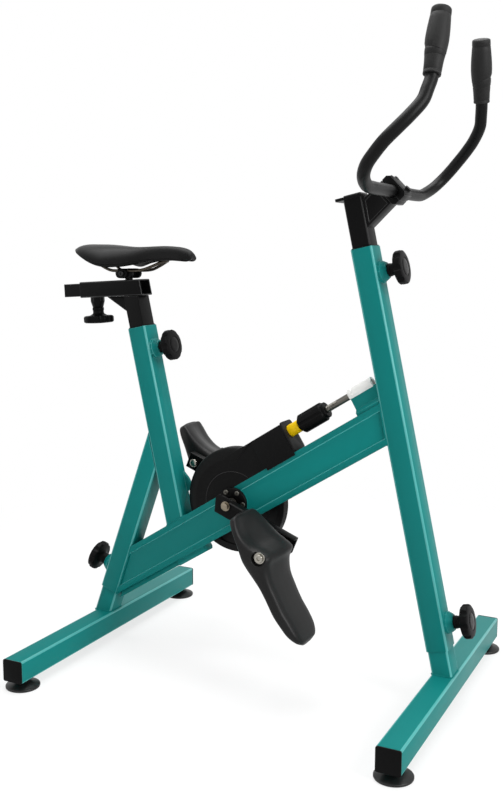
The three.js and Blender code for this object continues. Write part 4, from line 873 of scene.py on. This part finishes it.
def stem():
    """Handlebar post, bracket and clamp, with the clamp's screws."""
    # The corner finish of these parts is a painted highlight on their rounded corners
    dressed("handlebar_post", "black_coat", corner="black_corner_highlight")
    arm = copy_of("stem_bracket")
    under = Vector((1, 0, -1)).normalized()
    lowest = max((face for face in arm.data.polygons if face.normal.dot(under) > 0.99),
                 key=lambda face: face.center.dot(under))
    # The arm is deeper than its solid, with a recessed web on both sides
    stretch(arm, lowest, under * 0.0070, mast_up * -0.0082)
    pick(arm, "polygons", lambda face: abs(face.normal.y) > 0.99 and face.area > 0.0006, "FACE")
    bpy.ops.mesh.inset(thickness=0.0052, depth=0.0)
    bpy.ops.mesh.inset(thickness=0.0004, depth=-0.0018)
    leave_edit()
    hand_over(highlighted(arm, "black_coat", "black_corner_highlight", 0.0006), "black_coat", "stem_bracket")
    for name in ("bar_clamp_base", "bar_clamp_cap"):
        dressed(name, "black_coat", 0.0013, 3, "black_corner_highlight")
    turn = Matrix.Rotation(-math.radians(32), 4, "Y")
    head = socket_head("clamp_screw_pattern", 0.0052, 0.0045)
    for index, side in enumerate((-1, 1)):
        place = stem_place @ turn @ shifted(0.0158, side * 0.014, 0.0215) @ ALONG_X
        hand_over(twin(head, f"clamp_screw_{index + 1}", place), "dark_steel", body="stem")
    discard(head)


# From the tail to the nose, as shares of half the saddle's width and of its rise
SADDLE_HALF = (0.44, 0.78, 0.95, 1.0, 0.95, 0.76, 0.55, 0.41, 0.34, 0.30, 0.27, 0.25, 0.19)
SADDLE_TOP = (0.94, 1.0, 1.0, 0.995, 0.97, 0.935, 0.91, 0.915, 0.93, 0.94, 0.925, 0.88, 0.77)
SADDLE_EDGE = (0.80, 0.69, 0.53, 0.36, 0.245, 0.23, 0.30, 0.385, 0.43, 0.45, 0.46, 0.44, 0.41)
# From the clamp's bolt back to the tail
TAIL_REACH = 0.129
# Ahead, across and up, as shares of the tail's reach, half the saddle's width and its rise
WIRE_SHARES = ((-0.62, 0.50, 0.53), (-0.54, 0.46, 0.44), (-0.41, 0.35, 0.24), (-0.27, 0.262, 0.108),
               (0, 0.262, 0.103), (0.27, 0.262, 0.103), (0.42, 0.25, 0.14), (0.62, 0.18, 0.28),
               (0.76, 0.12, 0.40), (0.82, 0.05, 0.43))


def eased(table, share):
    """A value at a share of the way through a table, on a smooth curve."""
    at = share * (len(table) - 1)
    i = min(int(at), len(table) - 2)
    f = at - i
    a, b = table[i], table[i + 1]
    before, after = table[max(i - 1, 0)], table[min(i + 2, len(table) - 1)]
    m, n = (b - before) / 2, (after - a) / 2
    return a + f * (m + f * (3 * (b - a) - 2 * m - n + f * (m + n - 2 * (b - a))))


def saddle_form(share):
    """Half width, crown and lower edge of the saddle at a share of its length from the tail."""
    end = min(share, 1 - share) / 0.05
    full = math.sqrt(1 - (1 - end) ** 2) if end < 1 else 1.0
    rise = sizes().saddle_rise
    low, high = eased(SADDLE_EDGE, share) * rise, eased(SADDLE_TOP, share) * rise
    middle = low + (high - low) * 0.45
    edge = middle - (middle - low) * (0.12 + 0.88 * full)
    crown = middle + (high - middle) * (0.12 + 0.88 * full)
    half = eased(SADDLE_HALF, share) * sizes().saddle_width / 2 * (0.75 + 0.25 * full)
    return half, crown, edge, full


def arch(x, half, foot, top, s):
    """A point on the saddle's round cross-section, at a share of its half width."""
    return Vector((x, half * s, foot + (top - foot) * (1 - abs(s) ** 2.5) ** 0.62))


def saddle_ring(share):
    """One cross-section of the pad: the outer arch, a rolled lower edge and the hollow underneath."""
    half, crown, edge, full = saddle_form(share)
    x = share * sizes().saddle_length - TAIL_REACH
    hollow = edge if share in (0, 1) else edge + max(crown - 0.014 - edge, 0) * full
    hollow = max(min(hollow, crown - 0.004), edge + 0.0002)
    ring = [arch(x, half, edge, crown, math.sin(math.pi / 2 * i / 18)) for i in range(-18, 19)]
    ring.append(Vector((x, half - 0.0035, edge - 0.0012)))
    ring += [arch(x, half - 0.007, edge, hollow, math.sin(math.pi / 2 * i / 9))
             for i in range(9, -10, -1)]
    ring.append(Vector((x, 0.0035 - half, edge - 0.0012)))
    return [saddle_place @ point for point in ring]


def saddle_top():
    """The padded top of the saddle, with a seam that runs round above its lower edge."""
    shares = [0, 0.0025, 0.006, 0.011, 0.018, 0.027, 0.038, 0.052]
    shares += [0.052 + (0.94 - 0.052) * i / 44 for i in range(1, 44)]
    shares += [0.94, 0.955, 0.968, 0.978, 0.986, 0.992, 0.9965, 1.0]
    pad = skinned("saddle_padding", [saddle_ring(share) for share in shares])
    apply_modifier(pad, "SUBSURF", levels=1, render_levels=1)
    hand_over(smooth(pad, 70), "saddle_skin", "saddle_pad")
    lines = []
    for side in (-1, 1):
        line = []
        for i in range(81):
            share = 0.012 + 0.976 * i / 80
            half, crown, edge, _ = saddle_form(share)
            spot = arch(share * sizes().saddle_length - TAIL_REACH, half, edge, crown, 0.985)
            spot.y = side * (spot.y + 0.0001)
            line.append(saddle_place @ spot)
        lines.append(line)
    seam = drawn_tube("saddle_seam", [*lines[0], *reversed(lines[1]), lines[0][0]], 0.0008, 8)
    hand_over(seam, "black_plastic", "saddle_pad")


def saddle_frame():
    """Shell, wires and clamp under the saddle."""
    hand_over(smooth(copy_of("saddle_shell"), 45), "black_plastic", "saddle_shell")
    right, left = [
        [saddle_place @ Vector((x * TAIL_REACH, side * y * sizes().saddle_width / 2,
                                z * sizes().saddle_rise)) for x, y, z in WIRE_SHARES]
        for side in (-1, 1)]
    wire = drawn_tube("saddle_wire", curve_through([*right, *reversed(left)], 10), 0.0035, 24)
    hand_over(wire, "wire_steel", "saddle_rails")
    for part in ("inner", "outer"):
        for _, side in SIDES:
            dressed(f"clamp_{part}_{side}", "black_coat", 0.0008)
    parts = [turned("clamp_shank", [(0.003, -0.0292), (0.003, 0.0292)], 24)]
    for turn in (0, math.pi):
        parts.append(settle(socket_head("clamp_head", 0.0065, 0.005),
                            Matrix.Rotation(turn, 4, "X") @ shifted(z=0.0291)))
    bolt = joined("saddle_clamp_screw", parts)
    settle(bolt, saddle_place @ Matrix.Rotation(math.pi / 2, 4, "X"))
    hand_over(smooth(bolt, 30), "dark_steel", "saddle_clamp_bolt")


def saddle_slide():
    """Seat post, the sleeve on it, the inner tube and its plug."""
    post = copy_of("seat_post")
    brace = max((face for face in post.data.polygons if max(face.normal.x, face.normal.z) < -0.25),
                key=lambda face: face.area)
    # The brace reaches further down the post and further back under the sleeve
    stretch(post, brace, seat_up * -0.004, slide_forward * -0.009)
    # The corner finish of these parts is a painted highlight on their rounded corners
    hand_over(highlighted(post, "black_coat", "black_corner_highlight", 0.0007), "black_coat", "seat_post")
    dressed("saddle_slide", "black_coat", corner="black_corner_highlight")
    dressed("slide_tube", "black_coat", 0.0006, corner="black_corner_highlight")
    dressed("slide_tube_plug", "black_plastic", 0.0008)


def wheel_and_axle():
    """The braked wheel with its grooved rim, screws on its web, and the axle."""
    half = [
        (0.0300, 0.0120), (0.0306, 0.0114), (0.0306, 0.0062), (0.0330, 0.0060), (0.0640, 0.0060),
        (0.0660, 0.0080), (0.0810, 0.0080), (0.0830, 0.0060), (0.1020, 0.0060), (0.1038, 0.0070),
        (0.1042, 0.0114), (0.1050, 0.0120), (0.1188, 0.0120), (0.1198, 0.0112)]
    rim = []
    for i in range(5):
        low = 0.0088 - 0.0044 * i
        rim += [(0.1199, low + 0.0012), (0.1180, low), (0.1199, low - 0.0012)]
    outline = half + rim + [(r, -y) for r, y in reversed(half)]
    wheel = turned("wheel_iron", [(r, -y) for r, y in outline], 144, 30, rail_place @ ALONG_Y)
    hand_over(wheel, "wheel_iron", "brake_wheel")
    head = domed_bolt("wheel_bolt_pattern", 0.0052, 0.0046)
    screws = [screw for side, _ in SIDES for screw in ring_of_screws(head, side, 0.047, 0.0060,
                                                                     math.radians(15))]
    discard(head)
    hand_over(joined("wheel_bolts", screws), "dull_steel", body="crankset")
    dressed("crank_axle", "dull_steel", 0.0008)


def cover_form(name, inset):
    """Half a drum with a narrow neck and a wider end, all shrunk by an amount."""
    flat, radius, top = 0.0275 - inset, 0.125 - inset, 0.0990 - inset
    edge = [(0.098, 0), (0.1000, 0.0002), (0.1120, 0.0050), (0.1195, 0.0092), (0.1236, 0.0130)]
    drum = turned(name, [(r - inset, -flat + y) for r, y in edge]
                  + [(radius, -flat + 0.0175), (radius, flat - 0.0175)]
                  + [(r - inset, flat - y) for r, y in reversed(edge)], 160, place=ALONG_Y)
    cut(drum, box("neck", (0.031, -flat, -0.02), (0.121 + inset, flat, top)), "UNION")
    wide = 0.031 - inset
    # The hollow runs out through the end, which the end plate closes
    end = 0.197 if inset == 0 else 0.24
    cut(drum, box("neck_end", (0.115 + inset, -wide, 0.010), (end, wide, top)), "UNION")
    return drum


def wheel_cover():
    """The moulded cover over the wheel and its end plate."""
    cover = cover_form("cover_moulding", 0.0)
    cut(cover, cover_form("cover_inside", 0.0026))
    # Cut off over the rail's top, between the sides of the wider end, and below the lips of those sides
    for low, high in (((-0.2, -0.1, -0.3), (0.1188, 0.1, 0.03005)),
                      ((0.05, -0.0279, -0.3), (0.3, 0.0279, 0.03005)),
                      ((-0.3, -0.1, -0.4), (0.3, 0.1, 0.0240))):
        cut(cover, box("below", low, high))
    # The cover's rounded corners take a painted highlight
    highlighted(cover, "cover_plastic", "black_corner_highlight", 0.0011, 2, 32, 34)
    hand_over(settle(cover, rail_place), "cover_plastic", "wheel_cover")
    # Crease lines on both sides, drawn as thin tubes in the lighter corner black: a painted highlight along
    # each crease
    for side, word in SIDES:
        angles = [math.radians(27 + 126 * i / 60) for i in range(61)]
        run = [rail_place @ Vector((0.0716 * math.cos(angle), side * 0.0275, 0.0716 * math.sin(angle)))
               for angle in angles]
        hand_over(drawn_tube(f"cover_crease_{word}", run, 0.0007, 8), "black_corner_highlight", "wheel_cover")
    dressed("cover_end_plate", "charcoal_plastic", 0.0008)


def rail_span(name):
    """Where a CAD node starts and ends along the rail, from the axle."""
    inverse = rail_place.inverted()
    ahead = [(inverse @ vertex.co).x for vertex in frame["nodes"][name].data.vertices]
    return min(ahead), max(ahead)


def brake():
    """Brake block, the coloured push tube, its lobed adjuster, the rod and the pale sleeve."""
    dressed("brake_block", "charcoal_plastic", 0.0006)
    line = rail_place @ shifted(z=BRAKE_LINE) @ ALONG_X
    tube = turned("push_sleeve", [
        (0.0132, 0.1762), (0.0140, 0.1770), (0.0140, 0.2282), (0.0133, 0.2288)], 72)
    drill(tube, 0.0101, 0.16, 0.25)
    hand_over(settle(smooth(tube, 32), line), "yellow_plastic", "push_tube")
    low, high = 0.2296, 0.3040
    grip = turned("adjuster_grip", [
        (0.0140, low), (0.0144, low + 0.0030), (0.0175, low + 0.0034), (0.0200, low + 0.0050),
        (0.0218, low + 0.0072), (0.0218, high - 0.0100), (0.0200, high - 0.0078), (0.0172, high - 0.0066),
        (0.0168, high - 0.0050), (0.0180, high - 0.0042), (0.0180, high - 0.0008), (0.0172, high)], 96)
    for x, y in around(6, 0.0252, math.radians(30)):
        drill(grip, 0.0060, low - 0.01, high - 0.0060, 24, shifted(x, y))
    drill(grip, 0.0080, low - 0.02, high + 0.02)
    smooth(soften(grip, 0.0006, 2, 34), 32)
    hand_over(settle(grip, line), "black_plastic", "brake_adjuster")
    start, end = rail_span("adjuster_rod")
    rod = turned("brake_rod", [
        (0.0070, start), (0.0075, start + 0.0006), *thread(0.0075, 0.0071, 0.3060, 0.00055, 53),
        (0.0075, end - 0.0005), (0.0070, end)], 40, 30, line)
    hand_over(rod, "dull_steel", "adjuster_rod")
    start, end = rail_span("adjuster_sleeve")
    sleeve = turned("rod_sleeve", [
        (0.0118, start), (0.0133, start + 0.0008), (0.0137, start + 0.0022), (0.0137, start + 0.0110),
        (0.0133, start + 0.0114), (0.0133, start + 0.0124), (0.0137, start + 0.0128),
        (0.0137, end - 0.0010), (0.0128, end)], 64)
    drill(sleeve, 0.0076, start - 0.02, end + 0.02)
    hand_over(settle(smooth(sleeve, 32), line), "white_plastic", "adjuster_sleeve")


def bearing_housings():
    """Flanged housings of the axle, each with six socket screws."""
    head = socket_head("housing_screw_pattern", 0.0056, 0.0040)
    for side, word in SIDES:
        dressed(f"bearing_housing_{word}", "black_coat", 0.0010)
        screws = joined(f"housing_screws_{word}",
                        ring_of_screws(head, side, 0.0285, 0.0356, math.radians(28)))
        hand_over(smooth(screws, 30), "dull_steel", body="frame")
    discard(head)


def cranks():
    """Both cranks with the bolts that hold them and the pins of the pedals."""
    bolt = domed_bolt("crank_bolt_head", 0.0110, 0.0080)
    shank = turned("crank_shank", [(0.0049, -0.0265), (0.0049, 0.0004)], 28)
    bolt = smooth(joined("crank_bolt_pattern", [bolt, shank]), 30)
    for side, word in SIDES:
        # The crank's rounded corners take a painted highlight
        dressed(f"crank_{word}", "black_coat", 0.0010, corner="black_corner_highlight")
        along = LEFT * side
        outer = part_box(f"crank_bolt_{word}")[0 if side < 0 else 1][1]
        place = facing((axle.x, outer - side * 0.0080, axle.z), along)
        hand_over(twin(bolt, f"crank_screw_{word}", place), "bronzed_steel", f"crank_bolt_{word}")
        start, end = sorted(corner[1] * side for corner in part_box(f"pedal_pin_{word}"))
        head, web = end - 0.0070, start + 0.0070
        pin = turned("pin_shank", [
            (0.0040, start - 0.0016), (0.0072, start - 0.0009), (0.0090, start + 0.0002),
            (0.0095, start + 0.0010), (0.0095, web), (0.0059, web + 0.0001),
            (0.0059, web + 0.0052), (0.0079, web + 0.0053), (0.0079, head)], 40)
        washer = turned("pin_washer", [(0.0116, head), (0.0124, head + 0.0006), (0.0124, head + 0.0014),
                                       (0.0118, head + 0.0020)], 48)
        top = settle(socket_head("pin_head", 0.0090, 0.0050), shifted(z=head + 0.0020))
        pin = smooth(joined(f"pedal_screw_{word}", [pin, washer, top]), 30)
        spot = joint_point(f"pedal_{word}_turn")
        hand_over(settle(pin, facing((spot.x, 0, spot.z), along)), "bright_steel", f"pedal_pin_{word}")
    discard(bolt)


# Cross-sections from the heel to the toe: the rear corner's place ahead and up, the front corner's place
# ahead and its height outside and inside, as shares of the reach; and the width, as a share of the full one
PEDAL_SHARES = (
    (-0.490, -0.128, -0.490, -0.105, -0.100, 0.50), (-0.470, -0.165, -0.476, -0.084, -0.068, 0.75),
    (-0.400, -0.175, -0.408, -0.086, -0.040, 0.89), (-0.245, -0.180, -0.275, -0.082, 0.005, 0.98),
    (-0.140, -0.195, -0.138, -0.030, 0.065, 1.00), (-0.035, -0.210, -0.045, 0.045, 0.125, 1.00),
    (0.070, -0.200, 0.045, 0.105, 0.168, 0.99), (0.160, -0.180, 0.130, 0.045, 0.085, 0.97),
    (0.290, -0.155, 0.270, 0.006, 0.020, 0.95), (0.430, -0.148, 0.420, 0.000, 0.008, 0.93),
    (0.590, -0.146, 0.600, 0.000, 0.006, 0.92), (0.715, -0.127, 0.735, 0.016, 0.022, 0.90),
    (0.850, -0.096, 0.880, 0.022, 0.028, 0.84), (0.940, -0.060, 0.970, 0.008, 0.014, 0.66),
    (0.985, -0.040, 1.000, -0.020, -0.018, 0.40))
# Round a cross-section: the share of its half width, and of the way from the rear corner to the front one
PEDAL_RING = ((-1, 0.44), (-0.985, 0.64), (-0.92, 0.81), (-0.74, 0.93), (-0.40, 0.985), (0, 1), (0.40, 1),
              (0.74, 0.985), (0.92, 0.90), (0.985, 0.70), (1, 0.44), (0.985, 0.20), (0.88, 0.045),
              (0.55, 0), (0, 0), (-0.55, 0), (-0.88, 0.045), (-0.985, 0.20))


def shrunk_ring(ring, inner, share, out):
    """A smaller copy of an end ring, a little further out, that helps to close the end."""
    middle = sum(ring, Vector()) / len(ring)
    outward = (middle - sum(inner, Vector()) / len(ring)).normalized()
    return [middle.lerp(point, share) + outward * out for point in ring]


def pedal_block(name, side):
    """One smooth pedal with a raised inner flank, its pin along Y at the middle of its own place."""
    reach = sizes().pedal_reach
    rings = []
    for rear_x, rear_z, front_x, outer_z, inner_z, width in PEDAL_SHARES:
        half = sizes().pedal_width / 2 * width
        ring = []
        for y, t in PEDAL_RING:
            inward = min(max((y + 0.55) / 1.25, 0), 1)
            front_z = outer_z + (inner_z - outer_z) * inward * inward * (3 - 2 * inward)
            ring.append(Vector(((rear_x + (front_x - rear_x) * t) * reach, -side * y * half,
                                (rear_z + (front_z - rear_z) * t) * reach)))
        rings.append(ring_curve(ring if side < 0 else ring[::-1], 4))
    columns = [curve_through(column, 4) for column in zip(*rings)]
    lines = [list(line) for line in zip(*columns)]
    # Each end is rounded off by two smaller rings, set outwards from a ring further in
    first, last = lines[0], lines[-1]
    for share, out in ((0.72, 0.0014), (0.35, 0.0020)):
        lines.insert(0, shrunk_ring(first, lines[4], share, out))
    for share, out in ((0.72, 0.0010), (0.35, 0.0014)):
        lines.append(shrunk_ring(last, lines[-6], share, out))
    return skinned(name, lines)


def pedals():
    """The two hanging pedals, each with the pocket and the bore of its pin."""
    for side, word in SIDES:
        low, high = [corner[1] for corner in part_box(f"pedal_{word}")]
        made = pedal_block(f"pedal_{word}_block", side)
        settle(made, shifted(y=(low + high) / 2) @ Matrix.Rotation(PEDAL_HANG, 4, "Y"))
        pocket = turned("pocket", [(0.0152, -0.0098), (0.0158, -0.0088), (0.0158, -0.0012),
                                   (0.0182, 0.0012), (0.0182, 0.0300)], 64,
                        place=facing((0, low if side < 0 else high, 0), LEFT * side))
        cut(made, pocket)
        drill(made, 0.0084, -0.2, 0.2, place=ALONG_Y)
        spot = joint_point(f"pedal_{word}_turn")
        settle(made, shifted(spot.x, 0, spot.z))
        hand_over(smooth(made, 38), "pedal_plastic", f"pedal_{word}")


# Stage


def seen_directly(tree):
    """1 for rays that show the surface to the eye, in a mirror or through glass."""
    path = tree.nodes.new("ShaderNodeLightPath")
    return math_node(tree, "MAXIMUM", path.outputs["Is Camera Ray"],
                     math_node(tree, "MAXIMUM", path.outputs["Is Glossy Ray"],
                               path.outputs["Is Transmission Ray"]))


def floor_material():
    """Pale floor: plain white to the eye and in mirrors, with the object's soft shadow kept."""
    settings = bpy.context.scene.bike_stage
    material = bpy.data.materials.new("Pale floor")
    material.use_nodes = True
    tree = material.node_tree
    shader = tree.nodes["Principled BSDF"]
    shader.inputs["Roughness"].default_value = 0.9
    shader.inputs["Specular IOR Level"].default_value = 0.0
    tint = use_group(tree, mottled_colour_group(), Colour=tuple(settings.floor), Amount=0.004, Dust=0.0)
    tree.links.new(tint.outputs["Colour"], shader.inputs["Base Color"])
    glow = node(tree, "ShaderNodeEmission", Strength=1.0)
    place = tree.nodes.new("ShaderNodeTexCoord")
    far = node(tree, "ShaderNodeVectorMath", operation="LENGTH")
    tree.links.new(place.outputs["Object"], far.inputs[0])
    fade = node(tree, "ShaderNodeMapRange", From_Min=0.75, From_Max=1.7, To_Min=settings.floor_glow,
                To_Max=1.0)
    tree.links.new(far.outputs["Value"], fade.inputs["Value"])
    mix = tree.nodes.new("ShaderNodeMixShader")
    share = math_node(tree, "MULTIPLY", seen_directly(tree), fade.outputs["Result"])
    for index, output in enumerate((share, shader.outputs[0], glow.outputs[0])):
        tree.links.new(output, mix.inputs[index])
    tree.links.new(mix.outputs[0], tree.nodes["Material Output"].inputs["Surface"])
    return material


def area_lamp(name, place, width, height, energy):
    """A rectangular lamp that looks at the middle of the object."""
    choose()
    bpy.ops.object.light_add(type="AREA", location=place)
    lamp = bpy.context.object
    lamp.name = name
    lamp.data.shape = "RECTANGLE"
    lamp.data.size, lamp.data.size_y, lamp.data.energy = width, height, energy
    target = Vector((0.0, 0.0, 0.6))
    lamp.rotation_euler = (target - Vector(place)).to_track_quat("-Z", "Y").to_euler()


def stage():
    """Floor, lamps, sky and the camera at the photograph's viewing angle."""
    scene = bpy.context.scene
    settings = scene.bike_stage
    choose()
    bpy.ops.mesh.primitive_plane_add(size=60, location=(0, 0, -0.0002))
    floor = settle(name_piece(bpy.context.object, "floor"))
    floor.data.materials.append(floor_material())
    area_lamp("key_lamp", (3.3, -0.9, 2.2), 1.6, 2.2, settings.key_power)
    area_lamp("fill_lamp", (-2.2, -2.6, 1.7), 2.0, 2.0, settings.fill_power)
    area_lamp("top_lamp", (-0.1, 0.2, 3.2), 2.4, 2.4, settings.top_power)
    scene.world = scene.world or bpy.data.worlds.new("Pale sky")
    scene.world.use_nodes = True
    tree = scene.world.node_tree
    back = tree.nodes["Background"]
    back.inputs["Color"].default_value = (1, 1, 1, 1)
    strength = math_node(tree, "ADD", math_node(tree, "MULTIPLY", seen_directly(tree), 1 - settings.sky),
                         settings.sky)
    tree.links.new(strength, back.inputs["Strength"])
    scene.view_settings.view_transform = "Standard"
    photo_camera()


# The camera: turned from a plain side view, tipped down and rolled, in degrees; its focal length and the
# picture's height in pixels; and its place, measured from the rear end cap's lowest corner in X and Z
CAMERA_TURN, CAMERA_TIP, CAMERA_ROLL = 26.65, -8.09, 0.187
FOCAL_PIXELS, PICTURE_HEIGHT, SENSOR_HEIGHT = 997.5, 793, 36
CAMERA_SPOT = (1.42298, -1.99593, 0.93062)


def photo_camera():
    """The photograph's camera, from its angles, focal length and place."""
    azimuth, rise, roll = [math.radians(angle) for angle in (CAMERA_TURN, CAMERA_TIP, CAMERA_ROLL)]
    ahead = Vector((-math.sin(azimuth) * math.cos(rise), math.cos(azimuth) * math.cos(rise),
                    math.sin(rise)))
    level = Vector((math.cos(azimuth), math.sin(azimuth), 0))
    upright = level.cross(ahead)
    right = level * math.cos(roll) + upright * math.sin(roll)
    up = upright * math.cos(roll) - level * math.sin(roll)
    choose()
    bpy.ops.object.camera_add()
    camera = bpy.context.object
    camera.name = "photo_camera"
    camera.data.sensor_fit = "VERTICAL"
    camera.data.sensor_height = SENSOR_HEIGHT
    camera.data.lens = SENSOR_HEIGHT * FOCAL_PIXELS / PICTURE_HEIGHT
    place = Matrix((right, up, -ahead)).transposed().to_4x4()
    low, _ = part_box("rear_cap_right")
    place.translation = Vector(CAMERA_SPOT) + Vector((low[0], 0, low[2]))
    camera.matrix_world = place
    bpy.context.scene.camera = camera


# Operators and panel


def done(work):
    work()
    return {"FINISHED"}


class BuildFrameShapes(bpy.types.Operator):
    """Tubes, foot bars and the liners of the sleeves."""
    bl_idname = "bike.build_frame_shapes"
    bl_label = "Frame tubes and foot bars"

    def execute(self, context):
        return done(frame_shapes)


class BuildWeldBeads(bpy.types.Operator):
    """Beads round the joints of the frame."""
    bl_idname = "bike.build_weld_beads"
    bl_label = "Weld beads"

    def execute(self, context):
        return done(weld_beads)


class BuildFeetAndCaps(bpy.types.Operator):
    """Levelling feet, their lock nuts and the foot bars' caps."""
    bl_idname = "bike.build_feet_and_caps"
    bl_label = "Feet and end caps"

    def execute(self, context):
        return done(feet_and_caps)


class BuildClampKnobs(bpy.types.Operator):
    """The five lobed clamp knobs."""
    bl_idname = "bike.build_clamp_knobs"
    bl_label = "Clamp knobs"

    def execute(self, context):
        return done(clamp_knobs)


class BuildHandlebar(bpy.types.Operator):
    """The bent bar and its two hand grips."""
    bl_idname = "bike.build_handlebar"
    bl_label = "Handlebar and grips"

    def execute(self, context):
        return done(handlebar)


class BuildStem(bpy.types.Operator):
    """Post, bracket and the two halves of the clamp."""
    bl_idname = "bike.build_stem"
    bl_label = "Handlebar post and clamp"

    def execute(self, context):
        return done(stem)


class BuildSaddleTop(bpy.types.Operator):
    """The padded top of the saddle and its seam."""
    bl_idname = "bike.build_saddle_top"
    bl_label = "Saddle top"

    def execute(self, context):
        return done(saddle_top)


class BuildSaddleFrame(bpy.types.Operator):
    """Shell, wires, clamp plates and bolt under the saddle."""
    bl_idname = "bike.build_saddle_frame"
    bl_label = "Saddle frame"

    def execute(self, context):
        return done(saddle_frame)


class BuildSaddleSlide(bpy.types.Operator):
    """Seat post, sleeve, inner tube and plug."""
    bl_idname = "bike.build_saddle_slide"
    bl_label = "Saddle slide"

    def execute(self, context):
        return done(saddle_slide)


class BuildWheelAndAxle(bpy.types.Operator):
    """The braked wheel, its screws and the axle."""
    bl_idname = "bike.build_wheel_and_axle"
    bl_label = "Wheel and axle"

    def execute(self, context):
        return done(wheel_and_axle)


class BuildWheelCover(bpy.types.Operator):
    """The moulded cover and its end plate."""
    bl_idname = "bike.build_wheel_cover"
    bl_label = "Wheel cover"

    def execute(self, context):
        return done(wheel_cover)


class BuildBrake(bpy.types.Operator):
    """Block, push tube, adjuster, rod and sleeve."""
    bl_idname = "bike.build_brake"
    bl_label = "Brake"

    def execute(self, context):
        return done(brake)


class BuildBearingHousings(bpy.types.Operator):
    """Flanged housings with their screws."""
    bl_idname = "bike.build_bearing_housings"
    bl_label = "Bearing housings"

    def execute(self, context):
        return done(bearing_housings)


class BuildCranks(bpy.types.Operator):
    """Cranks, their bolts and the pins of the pedals."""
    bl_idname = "bike.build_cranks"
    bl_label = "Cranks"

    def execute(self, context):
        return done(cranks)


class BuildPedals(bpy.types.Operator):
    """The two hanging pedals."""
    bl_idname = "bike.build_pedals"
    bl_label = "Pedals"

    def execute(self, context):
        return done(pedals)


class BuildStage(bpy.types.Operator):
    """Floor, lamps, sky and camera."""
    bl_idname = "bike.build_stage"
    bl_label = "Stage"

    def execute(self, context):
        return done(stage)


class BikePanel(bpy.types.Panel):
    """Lists the groups of pieces and the values that shape them."""
    bl_label = "Pool Bike"
    bl_idname = "VIEW3D_PT_pool_bike"
    bl_space_type = "VIEW_3D"
    bl_region_type = "UI"
    bl_category = "Pool Bike"

    def draw(self, context):
        for operator in OPERATORS:
            self.layout.operator(operator.bl_idname)
        for values in (context.scene.bike_sizes, context.scene.bike_colours, context.scene.bike_stage):
            column = self.layout.column(align=True)
            for key in values.__annotations__:
                column.prop(values, key)


OPERATORS = (
    BuildFrameShapes, BuildWeldBeads, BuildFeetAndCaps, BuildClampKnobs, BuildHandlebar, BuildStem,
    BuildSaddleTop, BuildSaddleFrame, BuildSaddleSlide, BuildWheelAndAxle, BuildWheelCover, BuildBrake,
    BuildBearingHousings, BuildCranks, BuildPedals, BuildStage)
CLASSES = (BikeSizes, BikeColours, StageSettings, *OPERATORS, BikePanel)


def register():
    for made in CLASSES:
        bpy.utils.register_class(made)
    bpy.types.Scene.bike_sizes = bpy.props.PointerProperty(type=BikeSizes)
    bpy.types.Scene.bike_colours = bpy.props.PointerProperty(type=BikeColours)
    bpy.types.Scene.bike_stage = bpy.props.PointerProperty(type=StageSettings)


def unregister():
    del bpy.types.Scene.bike_stage, bpy.types.Scene.bike_colours, bpy.types.Scene.bike_sizes
    for made in reversed(CLASSES):
        bpy.utils.unregister_class(made)


def main():
    register()
    for operator in OPERATORS:
        group, name = operator.bl_idname.split(".")
        getattr(getattr(bpy.ops, group), name)()


if __name__ == "__main__":
    main()
